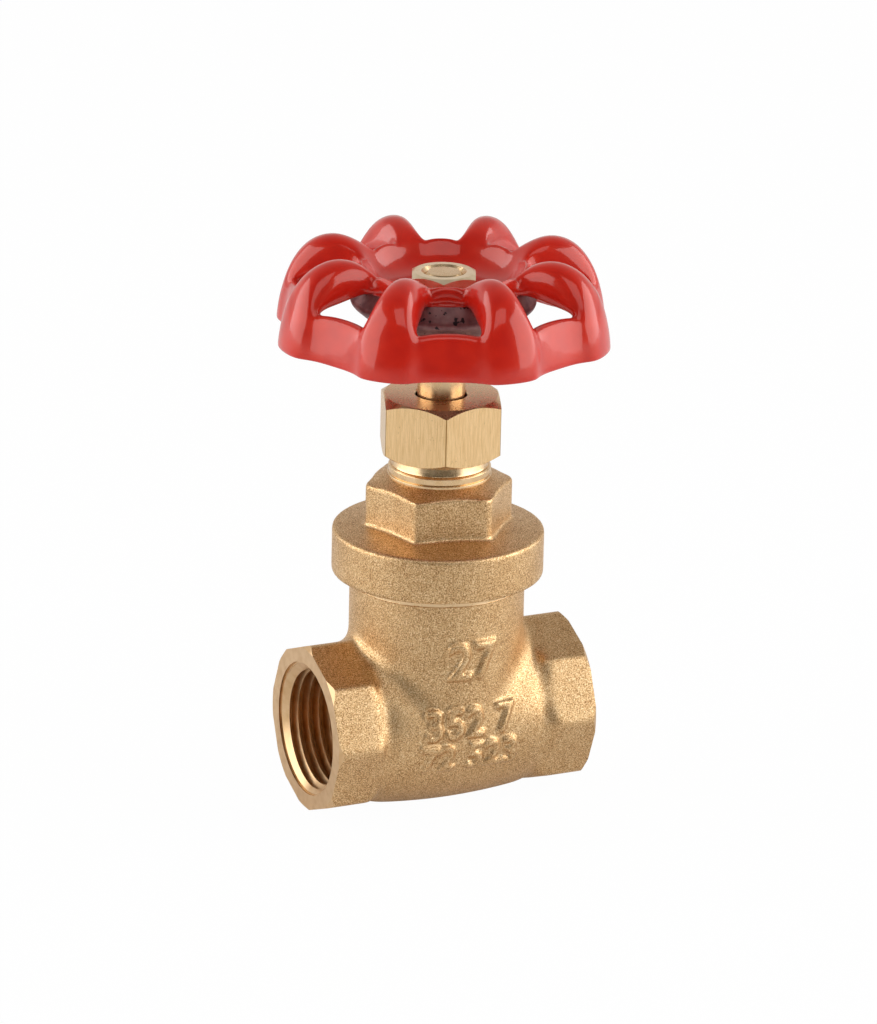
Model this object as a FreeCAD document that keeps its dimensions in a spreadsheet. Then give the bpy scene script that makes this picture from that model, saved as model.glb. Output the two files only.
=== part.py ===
import FreeCAD, Part
import math
import os

import Sketcher
from FreeCAD import Placement, Rotation, Vector

# Half-inch brass gate valve with a stem that turns but does not rise. Millimetres.
# The pipe line is the X axis, the stem turns about +Z, and the origin is where they cross.

doc = FreeCAD.newDocument("gate_valve")
sheet = doc.addObject("Spreadsheet::Sheet", "sizes")

SIZES = {
    # pipe ports, threaded G 1/2
    "port_face": 22.5,
    "port_inner_face": 14.5,
    "port_flats": 26.0,
    "port_face_radius": 13.3,
    "thread_minor_radius": 9.3155,
    "thread_mouth_radius": 10.8,
    "thread_depth": 10.0,
    # cast body
    "belly_end": 12.7,
    "belly_drop": 0.8,
    "port_neck_radius": 12.75,
    "barrel_radius": 14.0,
    "body_wall": 3.2,
    "shoulder_height": 24.1,
    "neck_step": 0.55,
    "neck_height": 4.5,
    # seats and wedge gate
    "gate_half_thickness": 6.2,
    "seat_tilt": 4.0,
    "seat_gap": 0.1,
    "seat_land": 2.0,
    "seat_boss_margin": 0.75,
    "gate_margin": 0.48,
    "gate_lift": 14.5,
    "gate_boss_radius": 5.6,
    "gate_boss_top": 13.5,
    "gate_thread_grip": 5.7,
    "guide_width": 2.0,
    "guide_reach": 1.9,
    "guide_bottom": -3.0,
    "guide_top": 22.5,
    "tab_width": 6.4,
    "tab_bottom": -1.0,
    "tab_height": 8.0,
    "guide_gap": 0.3,
    # bonnet
    "joint_gap": 0.05,
    "skirt_wall": 3.4,
    "flange_edge": 7.3,
    "flange_rise": 1.2,
    "edge_round": 0.5,
    "bonnet_hex_flats": 21.0,
    "bonnet_hex_turn": -11.8,
    "bonnet_hex_height": 7.8,
    "hex_shoulder_drop": 1.1,
    "hex_corner_drop": 0.5,
    "collar_radius": 8.3,
    "collar_height": 1.7,
    "bonnet_land": 3.6,
    "gland_thread_radius": 7.55,
    "gland_thread_top": 7.4,
    "gasket_thickness": 0.8,
    # stem
    "stem_radius": 3.8,
    "running_gap": 0.06,
    "thrust_gap": 0.1,
    "stem_thread_radius": 3.75,
    "stem_collar_radius": 5.6,
    "stem_collar_height": 2.3,
    "square_flats": 6.2,
    "square_gap": 0.05,
    "stud_radius": 2.95,
    "stud_length": 3.3,
    "stud_chamfer": 0.4,
    # stuffing box
    "washer_height": 1.2,
    "packing_height": 2.6,
    "follower_flange_radius": 7.2,
    "follower_flange_height": 1.4,
    # packing nut
    "nut_gap": 1.8,
    "nut_height": 9.8,
    "nut_flats": 18.3,
    "nut_turn": 10.2,
    "nut_end_wall": 2.5,
    "nut_chamfer_radius": 9.0,
    "nut_chamfer_slope": 35.0,
    "nut_hole_gap": 0.3,
    # handwheel
    "wheel_bottom": 63.8,
    "wheel_radius": 27.4,
    "wheel_wall": 2.3,
    "wheel_crest_radius": 18.0,
    "wheel_crest_rise": 14.4,
    "wheel_lobes": 8.0,
    "valley_turn": 22.5,
    "valley_depth": 2.7,
    "valley_scoop_radius": 9.6,
    "window_half_angle": 12.3,
    "window_sill": 7.5,
    "ring_radius": 13.3,
    "hub_radius": 5.2,
    "hub_height": 6.6,
    # wheel nut
    "wheel_nut_flats": 10.0,
    "wheel_nut_turn": -115.0,
    "wheel_nut_height": 3.4,
    "wheel_nut_sink": 0.6,
}

for row, (alias, value) in enumerate(SIZES.items(), start=1):
    cell = f"B{row}"
    sheet.set(f"A{row}", alias)
    sheet.set(cell, str(value))
    sheet.setAlias(cell, alias)
doc.recompute()


class Size:
    """A length or angle that knows its number and the sheet expression it comes from."""

    def __init__(self, number, text):
        self.number = float(number)
        self.text = text

    def joined(self, sign, other, number):
        return Size(number, f"({self.text} {sign} {plain(other).text})")

    def __add__(self, other):
        return self.joined("+", other, self.number + plain(other).number)

    def __sub__(self, other):
        return self.joined("-", other, self.number - plain(other).number)

    def __mul__(self, other):
        return self.joined("*", other, self.number * plain(other).number)

    def __truediv__(self, other):
        return self.joined("/", other, self.number / plain(other).number)

    def __neg__(self):
        return Size(-self.number, f"(0 - {self.text})")


def plain(value):
    return value if isinstance(value, Size) else Size(value, repr(value))


def size(alias):
    return Size(sheet.get(alias), f"sizes.{alias}")


def root(value):
    return Size(math.sqrt(value.number), f"sqrt({value.text})")


def sine(angle):
    return Size(math.sin(math.radians(angle.number)), f"sin({angle.text})")


def cosine(angle):
    return Size(math.cos(math.radians(angle.number)), f"cos({angle.text})")


def tangent(angle):
    return Size(math.tan(math.radians(angle.number)), f"tan({angle.text})")


def bind(thing, name, value):
    """Tie one property of an object to the sheet."""
    value = plain(value)
    thing.setExpression(name, value.text)
    return value


def new_body(name):
    return doc.addObject("PartDesign::Body", name)


def origin_feature(body, role):
    return next(item for item in body.Origin.OriginFeatures if item.Role == role)


def new_sketch(body, name, plane, offset=0):
    sketch = body.newObject("Sketcher::SketchObject", name)
    sketch.AttachmentSupport = [(origin_feature(body, plane), "")]
    sketch.MapMode = "FlatFace"
    bind(sketch, "AttachmentOffset.Base.z", offset)
    return sketch


def place_point(sketch, geometry, point, where):
    """Hold one point of a sketch at its two coordinates."""
    for kind, value in zip(("DistanceX", "DistanceY"), where):
        value = plain(value)
        index = sketch.addConstraint(Sketcher.Constraint(kind, -1, 1, geometry, point, value.number))
        bind(sketch, f"Constraints[{index}]", value)


def arc_between(start, end, radius):
    """The arc from start to end, anticlockwise for a positive radius and clockwise for a negative one."""
    chord = end - start
    middle = (start + end) * 0.5
    height = math.sqrt(radius * radius - chord.Length * chord.Length / 4)
    side = Vector(-chord.y, chord.x, 0).normalize() * math.copysign(height, radius)
    centre = middle + side
    first, last = (start, end) if radius > 0 else (end, start)
    angles = [math.atan2(point.y - centre.y, point.x - centre.x) for point in (first, last)]
    if angles[1] < angles[0]:
        angles[1] += 2 * math.pi
    return Part.ArcOfCircle(Part.Circle(centre, Vector(0, 0, 1), abs(radius)), *angles)


def add_loop(sketch, path):
    """Add a closed outline. A corner is (x, y), and (x, y, radius) starts an arc to the next corner."""
    base = sketch.GeometryCount
    corners = [Vector(plain(corner[0]).number, plain(corner[1]).number, 0) for corner in path]
    ends = []
    for number, corner in enumerate(path):
        start = corners[number]
        end = corners[(number + 1) % len(path)]
        if len(corner) == 3:
            radius = plain(corner[2])
            sketch.addGeometry(arc_between(start, end, radius.number))
            ends.append((1, 2) if radius.number > 0 else (2, 1))
        else:
            sketch.addGeometry(Part.LineSegment(start, end))
            ends.append((1, 2))
    for number, corner in enumerate(path):
        after = (number + 1) % len(path)
        joint = (base + number, ends[number][1], base + after, ends[after][0])
        sketch.addConstraint(Sketcher.Constraint("Coincident", *joint))
        place_point(sketch, base + number, ends[number][0], corner[:2])
        if len(corner) == 3:
            radius = plain(corner[2])
            radius = radius if radius.number > 0 else -radius
            index = sketch.addConstraint(Sketcher.Constraint("Radius", base + number, radius.number))
            bind(sketch, f"Constraints[{index}]", radius)


def add_circle(sketch, radius, centre=(0, 0)):
    centre_point = Vector(plain(centre[0]).number, plain(centre[1]).number, 0)
    radius = plain(radius)
    geometry = sketch.addGeometry(Part.Circle(centre_point, Vector(0, 0, 1), radius.number))
    place_point(sketch, geometry, 3, centre)
    index = sketch.addConstraint(Sketcher.Constraint("Radius", geometry, radius.number))
    bind(sketch, f"Constraints[{index}]", radius)


def polygon(sides, corner_radius, first_corner=0):
    """Corners of a regular polygon, with the first at an angle in degrees from the sketch's x axis."""
    corners = []
    for number in range(sides):
        angle = plain(first_corner) + number * 360.0 / sides
        corners.append((corner_radius * cosine(angle), corner_radius * sine(angle)))
    return corners


def corner_radius(flats, sides):
    return flats / (2 * math.cos(math.pi / sides))


def add_turned(body, name, kind, path, axis):
    """A Revolution or Groove of an outline in the XZ plane: H_Axis is the pipe line, V_Axis the stem."""
    sketch = new_sketch(body, f"{name}_sketch", "XZ_Plane")
    add_loop(sketch, path)
    feature = body.newObject(f"PartDesign::{kind}", name)
    feature.Profile = sketch
    feature.ReferenceAxis = (sketch, [axis])
    feature.Angle = 360
    return feature


def add_pad(body, name, plane, draw, bottom, length, kind="Pad"):
    """A Pad or Pocket of what draw(sketch) draws on a plane at a distance along that plane's normal."""
    sketch = new_sketch(body, f"{name}_sketch", plane, bottom)
    draw(sketch)
    feature = body.newObject(f"PartDesign::{kind}", name)
    feature.Profile = sketch
    feature.Reversed = kind == "Pocket"
    bind(feature, "Length", length)
    return feature


def add_pattern(body, name, kind, features, reference):
    pattern = body.newObject(f"PartDesign::{kind}", name)
    pattern.Originals = features
    if kind == "Mirrored":
        pattern.MirrorPlane = (origin_feature(body, reference), [""])
    else:
        pattern.Axis = (origin_feature(body, reference), [""])
        pattern.Angle = 360
        bind(pattern, "Occurrences", size("wheel_lobes"))
    body.Tip = pattern
    return pattern


def cylinder(name, radius, height, base=(0, 0, 0), along_pipe=False):
    solid = doc.addObject("Part::Cylinder", name)
    if along_pipe:
        solid.Placement = Placement(Vector(), Rotation(Vector(0, 1, 0), 90))
    bind(solid, "Radius", radius)
    bind(solid, "Height", height)
    place(solid, base)
    return solid


def box(name, length, width, height, base):
    solid = doc.addObject("Part::Box", name)
    bind(solid, "Length", length)
    bind(solid, "Width", width)
    bind(solid, "Height", height)
    place(solid, base)
    return solid


def place(solid, base):
    for letter, value in zip("xyz", base):
        bind(solid, f"Placement.Base.{letter}", value)


def fuse(name, solids):
    union = doc.addObject("Part::MultiFuse", name)
    union.Shapes = solids
    return union


def cut(name, base, tool):
    difference = doc.addObject("Part::Cut", name)
    difference.Base = base
    difference.Tool = tool
    return difference


def common(name, first, second):
    overlap = doc.addObject("Part::Common", name)
    overlap.Base = first
    overlap.Tool = second
    return overlap


def ring(name, inner, outer, bottom, height):
    """A flat ring about the stem axis, as a gasket, a washer or one turn of packing."""
    outside = cylinder(f"{name}_outside", outer, height, (0, 0, bottom))
    inside = cylinder(f"{name}_inside", inner, height + 2, (0, 0, bottom - 1))
    return cut(name, outside, inside)


# --- Places that several pieces share -----------------------------------------------------------

PAST = 1.0  # how far a cutting tool runs past the face that it cuts
chamber_radius = size("barrel_radius") - size("body_wall")
gate_reach = chamber_radius - size("gate_margin")
gate_radius = root(gate_reach * gate_reach - size("gate_half_thickness") * size("gate_half_thickness"))
waterway_radius = gate_radius - size("seat_land")
seat_boss_radius = gate_radius + size("seat_boss_margin")
neck_radius = size("barrel_radius") - size("neck_step")
neck_top = size("shoulder_height") + size("neck_height")
bonnet_ceiling = neck_top + size("gasket_thickness")
gland_floor = bonnet_ceiling + size("bonnet_land")
flange_radius = neck_radius + size("joint_gap") + size("skirt_wall")
flange_top = size("shoulder_height") + size("flange_edge")
hex_foot = flange_top + size("flange_rise")
collar_bottom = hex_foot + size("bonnet_hex_height")
collar_top = collar_bottom + size("collar_height")
gland_thread_end = collar_top + size("gland_thread_top")
gland_bore_radius = size("stem_collar_radius") + size("thrust_gap")
stem_hole_radius = size("stem_radius") + size("running_gap")
stem_collar_bottom = gland_floor + size("thrust_gap")
stem_collar_top = stem_collar_bottom + size("stem_collar_height")
washer_bottom = stem_collar_top + size("thrust_gap")
packing_bottom = washer_bottom + size("washer_height")
packing_top = packing_bottom + size("packing_height") * 3
nut_bottom = collar_top + size("nut_gap")
nut_top = nut_bottom + size("nut_height")
nut_ceiling = nut_top - size("nut_end_wall")
hub_bottom = size("wheel_bottom") + 0.1
hub_top = hub_bottom + size("hub_height")


# --- Body casting -------------------------------------------------------------------------------

def make_outer_casting():
    """The solid outside of the body: belly, two octagon ports and the barrel with its neck."""
    body = new_body("outer_casting")
    belly_end = size("belly_end")
    belly_drop = size("belly_drop")
    belly_end_radius = size("barrel_radius") - belly_drop
    belly_curve = (belly_end * belly_end + belly_drop * belly_drop) / (belly_drop * 2)
    port_inner = size("port_inner_face") + PAST
    neck = size("port_neck_radius")
    add_turned(body, "belly", "Revolution", [
        (-port_inner, 0),
        (-port_inner, neck),
        (-belly_end, neck),
        (-belly_end, belly_end_radius, -belly_curve),
        (belly_end, belly_end_radius),
        (belly_end, neck),
        (port_inner, neck),
        (port_inner, 0),
    ], "H_Axis")
    octagon = polygon(8, corner_radius(size("port_flats"), 8))
    port_length = size("port_face") - size("port_inner_face")
    port = add_pad(body, "port", "YZ_Plane", lambda sketch: add_loop(sketch, octagon),
                   size("port_inner_face"), port_length)
    face = size("port_face")
    face_radius = size("port_face_radius")
    chamfer = add_turned(body, "port_chamfer", "Groove", [
        (face, face_radius),
        (face + PAST, face_radius),
        (face + PAST, face_radius + 3),
        (face - 3, face_radius + 3),
    ], "H_Axis")
    add_pattern(body, "second_port", "Mirrored", [port, chamfer], "YZ_Plane")
    add_pad(body, "barrel", "XY_Plane", lambda sketch: add_circle(sketch, size("barrel_radius")),
            0, size("shoulder_height"))
    add_pad(body, "neck", "XY_Plane", lambda sketch: add_circle(sketch, neck_radius),
            size("shoulder_height") - PAST, size("neck_height") + PAST)
    return body


def make_between_seats(name, gap):
    """The tapered space between the two seat faces, less a gap on each side."""
    body = new_body(name)
    reach = gate_radius + PAST
    slope = tangent(size("seat_tilt"))
    top = size("gate_half_thickness") + slope * reach - gap
    bottom = size("gate_half_thickness") - slope * reach - gap
    sketch = new_sketch(body, f"{name}_sketch", "XZ_Plane")
    add_loop(sketch, [(-bottom, -reach), (bottom, -reach), (top, reach), (-top, reach)])
    pad = body.newObject("PartDesign::Pad", f"{name}_pad")
    pad.Profile = sketch
    pad.Midplane = True
    bind(pad, "Length", reach * 2)
    return body


def make_valve_body():
    length = size("belly_end") * 2
    chamber = cylinder("chamber", chamber_radius, neck_top + PAST)
    chamber_floor = doc.addObject("Part::Sphere", "chamber_floor")
    bind(chamber_floor, "Radius", chamber_radius)
    hollow_casting = cut("hollow_casting", make_outer_casting(), fuse("hollow", [chamber, chamber_floor]))
    bosses = cylinder("seat_bosses", seat_boss_radius, length, (-length / 2, 0, 0), along_pipe=True)
    seats = cut("seats", bosses, make_between_seats("gate_space", 0))
    rib_inner = chamber_radius - size("guide_reach")
    rib_depth = size("guide_reach") + size("body_wall") / 3
    rib_height = size("guide_top") - size("guide_bottom")
    ribs = []
    for side, start in (("left", -(rib_inner + rib_depth)), ("right", rib_inner)):
        corner = (-size("guide_width") / 2, start, size("guide_bottom"))
        ribs.append(box(f"guide_{side}", size("guide_width"), rib_depth, rib_height, corner))
    solid = fuse("casting_with_seats", [hollow_casting, seats] + ribs)
    face = size("port_face")
    tools = [cylinder("waterway", waterway_radius, face * 2, (-face, 0, 0), along_pipe=True)]
    depth = size("thread_depth")
    mouth_depth = size("thread_mouth_radius") - size("thread_minor_radius")
    for side, sign in (("a", -1), ("b", 1)):
        start = -face - PAST if sign < 0 else face - depth
        bore = cylinder(f"thread_bore_{side}", size("thread_minor_radius"), depth + PAST,
                        (start, 0, 0), along_pipe=True)
        mouth = doc.addObject("Part::Cone", f"thread_mouth_{side}")
        mouth.Placement = Placement(Vector(), Rotation(Vector(0, 1, 0), 90))
        radii = [size("thread_minor_radius"), size("thread_mouth_radius")]
        wide_first = radii[::-1] if sign < 0 else radii
        bind(mouth, "Radius1", wide_first[0])
        bind(mouth, "Radius2", wide_first[1])
        bind(mouth, "Height", mouth_depth)
        place(mouth, (-face if sign < 0 else face - mouth_depth, 0, 0))
        tools += [bore, mouth]
    return cut("valve_body", solid, fuse("port_tools", tools))


def make_gate_wedge():
    """The tapered disc with its threaded boss and the two slotted tabs that ride on the guides."""
    length = size("gate_half_thickness") * 4
    disc = cylinder("gate_disc", gate_radius, length, (-length / 2, 0, 0), along_pipe=True)
    taper = common("gate_taper", disc, make_between_seats("gate_sides", size("seat_gap")))
    boss = cylinder("gate_boss", size("gate_boss_radius"), size("gate_boss_top"))
    rib_inner = chamber_radius - size("guide_reach")
    tab_reach = rib_inner + 1
    tab_corner = (-size("tab_width") / 2, -tab_reach, size("tab_bottom"))
    tabs = box("gate_tabs", size("tab_width"), tab_reach * 2, size("tab_height"), tab_corner)
    solid = fuse("gate_blank", [taper, boss, tabs])
    pocket_floor = size("gate_boss_top") - size("gate_thread_grip") - size("gate_lift") - 0.2
    pocket_depth = size("gate_boss_top") - pocket_floor
    pocket = cylinder("gate_thread", size("stem_thread_radius") + size("running_gap"), pocket_depth + PAST,
                      (0, 0, pocket_floor))
    slot_width = size("guide_width") + size("guide_gap") * 2
    tools = [pocket]
    for side, start in (("left", -(tab_reach + PAST)), ("right", rib_inner - size("guide_gap"))):
        depth = tab_reach + PAST - (rib_inner - size("guide_gap"))
        corner = (-slot_width / 2, start, -gate_radius)
        tools.append(box(f"gate_slot_{side}", slot_width, depth, gate_radius * 2, corner))
    return cut("gate_wedge", solid, fuse("gate_tools", tools))


# --- Bonnet and stuffing box --------------------------------------------------------------------

def make_bonnet():
    body = new_body("bonnet")
    round_over = size("edge_round")
    foot = size("shoulder_height")
    core = size("bonnet_hex_flats") / 2 - 0.5
    add_turned(body, "bonnet_blank", "Revolution", [
        (0, foot),
        (flange_radius - round_over, foot),
        (flange_radius, foot + round_over),
        (flange_radius, flange_top - round_over),
        (flange_radius - round_over, flange_top),
        (core, hex_foot),
        (size("collar_radius"), collar_bottom - 1),
        (size("collar_radius"), collar_top),
        (size("gland_thread_radius"), collar_top),
        (size("gland_thread_radius"), gland_thread_end - 0.6),
        (size("gland_thread_radius") - 0.6, gland_thread_end),
        (0, gland_thread_end),
    ], "V_Axis")
    hexagon = polygon(6, corner_radius(size("bonnet_hex_flats"), 6), size("bonnet_hex_turn"))
    add_pad(body, "bonnet_hex", "XY_Plane", lambda sketch: add_loop(sketch, hexagon),
            hex_foot - 1, size("bonnet_hex_height") + 1)
    flat = size("bonnet_hex_flats") / 2
    shoulder = collar_bottom - size("hex_shoulder_drop")
    beyond = corner_radius(size("bonnet_hex_flats"), 6) + PAST
    add_turned(body, "bonnet_hex_top", "Groove", [
        (size("collar_radius"), collar_bottom),
        (flat, shoulder),
        (beyond, shoulder - size("hex_corner_drop")),
        (beyond, collar_bottom + PAST),
        (size("collar_radius"), collar_bottom + PAST),
    ], "V_Axis")
    skirt = neck_radius + size("joint_gap")
    add_turned(body, "bonnet_bore", "Groove", [
        (0, foot - PAST),
        (skirt, foot - PAST),
        (skirt, bonnet_ceiling),
        (stem_hole_radius, bonnet_ceiling),
        (stem_hole_radius, gland_floor),
        (gland_bore_radius, gland_floor),
        (gland_bore_radius, gland_thread_end + PAST),
        (0, gland_thread_end + PAST),
    ], "V_Axis")
    return body


def make_packing():
    """The gasket under the bonnet, and the washer and three packing rings round the stem."""
    outer = gland_bore_radius - size("joint_gap")
    pieces = [
        ring("bonnet_gasket", chamber_radius + size("joint_gap") * 2, neck_radius, neck_top,
             size("gasket_thickness")),
        ring("gland_washer", stem_hole_radius, outer, washer_bottom, size("washer_height")),
    ]
    for number, place_name in enumerate(("lower", "middle", "upper")):
        bottom = packing_bottom + size("packing_height") * number
        pieces.append(ring(f"packing_ring_{place_name}", stem_hole_radius, outer, bottom,
                           size("packing_height")))
    return pieces


def make_gland_follower():
    """The top-hat bush that the packing nut pushes down on the packing."""
    body = new_body("gland_follower")
    outer = gland_bore_radius - size("joint_gap")
    flange_foot = nut_ceiling - size("follower_flange_height")
    add_turned(body, "follower_blank", "Revolution", [
        (stem_hole_radius, packing_top),
        (outer, packing_top),
        (outer, flange_foot),
        (size("follower_flange_radius"), flange_foot),
        (size("follower_flange_radius"), nut_ceiling),
        (stem_hole_radius, nut_ceiling),
    ], "V_Axis")
    return body


def make_hex_nut(name, flats, turn, bottom, height, chamfer_radius, slope, bore_path):
    """A hexagon nut on the stem axis, chamfered at both ends, with a turned bore."""
    body = new_body(name)
    hexagon = polygon(6, corner_radius(flats, 6), turn)
    add_pad(body, f"{name}_hex", "XY_Plane", lambda sketch: add_loop(sketch, hexagon), bottom, height)
    beyond = corner_radius(flats, 6) + PAST
    drop = (beyond - chamfer_radius) * tangent(slope)
    top = bottom + height
    for end, face, inward in (("top", top, -drop), ("bottom", bottom, drop)):
        past = PAST if end == "top" else -PAST
        add_turned(body, f"{name}_{end}_chamfer", "Groove", [
            (chamfer_radius, face),
            (beyond, face + inward),
            (beyond, face + past),
            (chamfer_radius, face + past),
        ], "V_Axis")
    add_turned(body, f"{name}_bore", "Groove", bore_path, "V_Axis")
    return body


def make_packing_nut():
    thread = size("gland_thread_radius") + size("joint_gap")
    hole = size("stem_radius") + size("nut_hole_gap")
    return make_hex_nut(
        "packing_nut", size("nut_flats"), size("nut_turn"), nut_bottom, size("nut_height"),
        size("nut_chamfer_radius"), size("nut_chamfer_slope"),
        [
            (0, nut_bottom - PAST),
            (thread, nut_bottom - PAST),
            (thread, nut_ceiling),
            (hole, nut_ceiling),
            (hole, nut_top + PAST),
            (0, nut_top + PAST),
        ])


# --- Stem, handwheel and its nut ----------------------------------------------------------------

def make_stem():
    body = new_body("stem")
    shaft = size("stem_radius")
    thread = size("stem_thread_radius")
    thread_bottom = size("gate_boss_top") - size("gate_thread_grip")
    thread_top = size("gate_boss_top") + size("gate_lift") + 0.5
    stud = size("stud_radius")
    stud_top = hub_top + size("stud_length")
    add_turned(body, "stem_blank", "Revolution", [
        (0, thread_bottom),
        (thread - 0.5, thread_bottom),
        (thread, thread_bottom + 0.5),
        (thread, thread_top),
        (shaft, thread_top),
        (shaft, stem_collar_bottom),
        (size("stem_collar_radius"), stem_collar_bottom),
        (size("stem_collar_radius"), stem_collar_top),
        (shaft, stem_collar_top),
        (shaft, hub_top),
        (stud, hub_top),
        (stud, stud_top - size("stud_chamfer")),
        (stud - size("stud_chamfer"), stud_top),
        (0, stud_top),
    ], "V_Axis")

    def draw_flats(sketch):
        add_circle(sketch, shaft + PAST)
        add_loop(sketch, polygon(4, corner_radius(size("square_flats"), 4), 45))

    add_pad(body, "stem_square", "XY_Plane", draw_flats, hub_bottom, hub_top - hub_bottom, "Pocket")
    return body


def wheel_profile(inset):
    """Dome outline of the handwheel from the rim to the crest, moved in by the wall's thickness."""
    bottom = size("wheel_bottom")
    rim = size("wheel_radius") - inset
    rise = size("wheel_crest_rise") - inset
    steps = [(1.2, 0.25), (1.8, 0.42), (3.5, 0.69), (6.2, 0.875)]
    outline = [(rim - inward, bottom + rise * share) for inward, share in steps]
    return outline + [(size("wheel_crest_radius"), bottom + rise)]


def make_wavy_disc(name, profile, scoop_radius):
    """A turned disc with one scoop cut in its edge at each valley between two lobes."""
    body = new_body(name)
    add_turned(body, f"{name}_turned", "Revolution", profile, "V_Axis")
    centre = size("wheel_radius") - size("valley_depth") + size("valley_scoop_radius")
    scoop = add_pad(body, f"{name}_scoop", "XY_Plane",
                    lambda sketch: add_circle(sketch, scoop_radius, (centre, 0)),
                    size("wheel_bottom") - 2 * PAST, size("wheel_crest_rise") + 4 * PAST, "Pocket")
    add_pattern(body, f"{name}_scoops", "PolarPattern", [scoop], "Z_Axis")
    return body


def make_handwheel():
    """The eight-lobed shell: a wavy dome, less a wavy hollow under it, less eight finger windows."""
    bottom = size("wheel_bottom")
    ring_outer = size("ring_radius")
    outside = [(0, hub_bottom), (size("hub_radius"), hub_bottom), (size("hub_radius"), bottom)]
    outside += [(size("wheel_radius"), bottom)] + wheel_profile(0)
    outside += [
        (ring_outer + 1.2, bottom + size("wheel_crest_rise") - 1.3),
        (ring_outer - 0.8, bottom + size("wheel_crest_rise") - 3.2),
        (ring_outer - 2.5, hub_top + 1.8),
        (ring_outer - 3.8, hub_top + 0.5),
        (size("hub_radius") + 1.5, hub_top),
        (0, hub_top),
    ]
    dome = make_wavy_disc("wheel_dome", outside, size("valley_scoop_radius"))
    wall = size("wheel_wall")
    under = [(size("hub_radius"), bottom - PAST), (size("wheel_radius") - wall, bottom - PAST)]
    under += wheel_profile(wall)
    under += [
        (ring_outer + 1.7, bottom + size("wheel_crest_rise") - wall - 1.2),
        (ring_outer, bottom + size("wheel_crest_rise") - wall - 2.7),
        (ring_outer, bottom + size("window_sill") + 1.1),
        (size("hub_radius"), bottom + 0.5),
    ]
    hollow = make_wavy_disc("wheel_hollow", under, size("valley_scoop_radius") + wall)
    windows = new_body("wheel_windows")
    half = size("window_half_angle")
    reach = size("wheel_radius") + PAST

    def draw_window(sketch):
        inner_x = ring_outer * cosine(half)
        inner_y = ring_outer * sine(half)
        outer_x = reach * cosine(half)
        outer_y = reach * sine(half)
        add_loop(sketch, [(inner_x, inner_y, -ring_outer), (inner_x, -inner_y), (outer_x, -outer_y),
                          (outer_x, outer_y)])

    window = add_pad(windows, "window", "XY_Plane", draw_window, bottom + size("window_sill"),
                     size("wheel_crest_rise"))
    add_pattern(windows, "window_pattern", "PolarPattern", [window], "Z_Axis")
    square = size("square_flats") + size("square_gap") * 2
    hub_span = size("hub_height") + 2 * PAST
    hole_floor = hub_bottom - PAST
    flats = box("hub_flats", square, square, hub_span, (-square / 2, -square / 2, hole_floor))
    round_hole = cylinder("hub_round", size("stem_radius") + size("square_gap"), hub_span, (0, 0, hole_floor))
    hole = common("hub_hole", flats, round_hole)
    hole.Placement.Rotation = Rotation(Vector(0, 0, 1), -sheet.get("valley_turn"))
    wheel = cut("handwheel", dome, fuse("wheel_tools", [hollow, windows, hole]))
    wheel.Placement.Rotation = Rotation(Vector(0, 0, 1), sheet.get("valley_turn"))
    return wheel


def make_wheel_nut():
    bore = size("stud_radius") + size("joint_gap")
    flats = size("wheel_nut_flats")
    top = hub_top + size("wheel_nut_height")
    sink = size("wheel_nut_sink")
    return make_hex_nut(
        "wheel_nut", flats, size("wheel_nut_turn"), hub_top, size("wheel_nut_height"),
        flats / 2 - 0.3, plain(30.0),
        [
            (0, hub_top - PAST),
            (bore, hub_top - PAST),
            (bore, top - sink),
            (bore + sink, top),
            (bore + sink, top + PAST),
            (0, top + PAST),
        ])


nodes = [make_valve_body(), make_gate_wedge(), make_bonnet(), *make_packing(), make_gland_follower(),
         make_packing_nut(), make_stem(), make_handwheel(), make_wheel_nut()]
doc.recompute()

for item in doc.Objects:
    if {"Invalid", "Error"} & set(item.State):
        raise RuntimeError(f"{item.Label} did not recompute: {item.State}")
os.makedirs("parts", exist_ok=True)
for node in nodes:
    if node.Shape.isNull() or not node.Shape.isValid() or len(node.Shape.Solids) != 1:
        raise RuntimeError(f"{node.Label} is not one valid solid")
    node.Shape.exportStep(f"parts/{node.Label}.step")
    span = node.Shape.BoundBox
    print(f"{node.Label}: {node.Shape.Volume:.1f} mm3, z {span.ZMin:.2f} to {span.ZMax:.2f}, "
          f"x {span.XMin:.2f} to {span.XMax:.2f}")
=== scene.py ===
"""Half-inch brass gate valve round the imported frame: castings, threads, enamelled wheel and studio."""

import logging
import math
from dataclasses import dataclass
from enum import Enum
from typing import Callable, Dict, List, Optional, Sequence, Tuple

import bpy
from mathutils import Matrix, Vector


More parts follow.
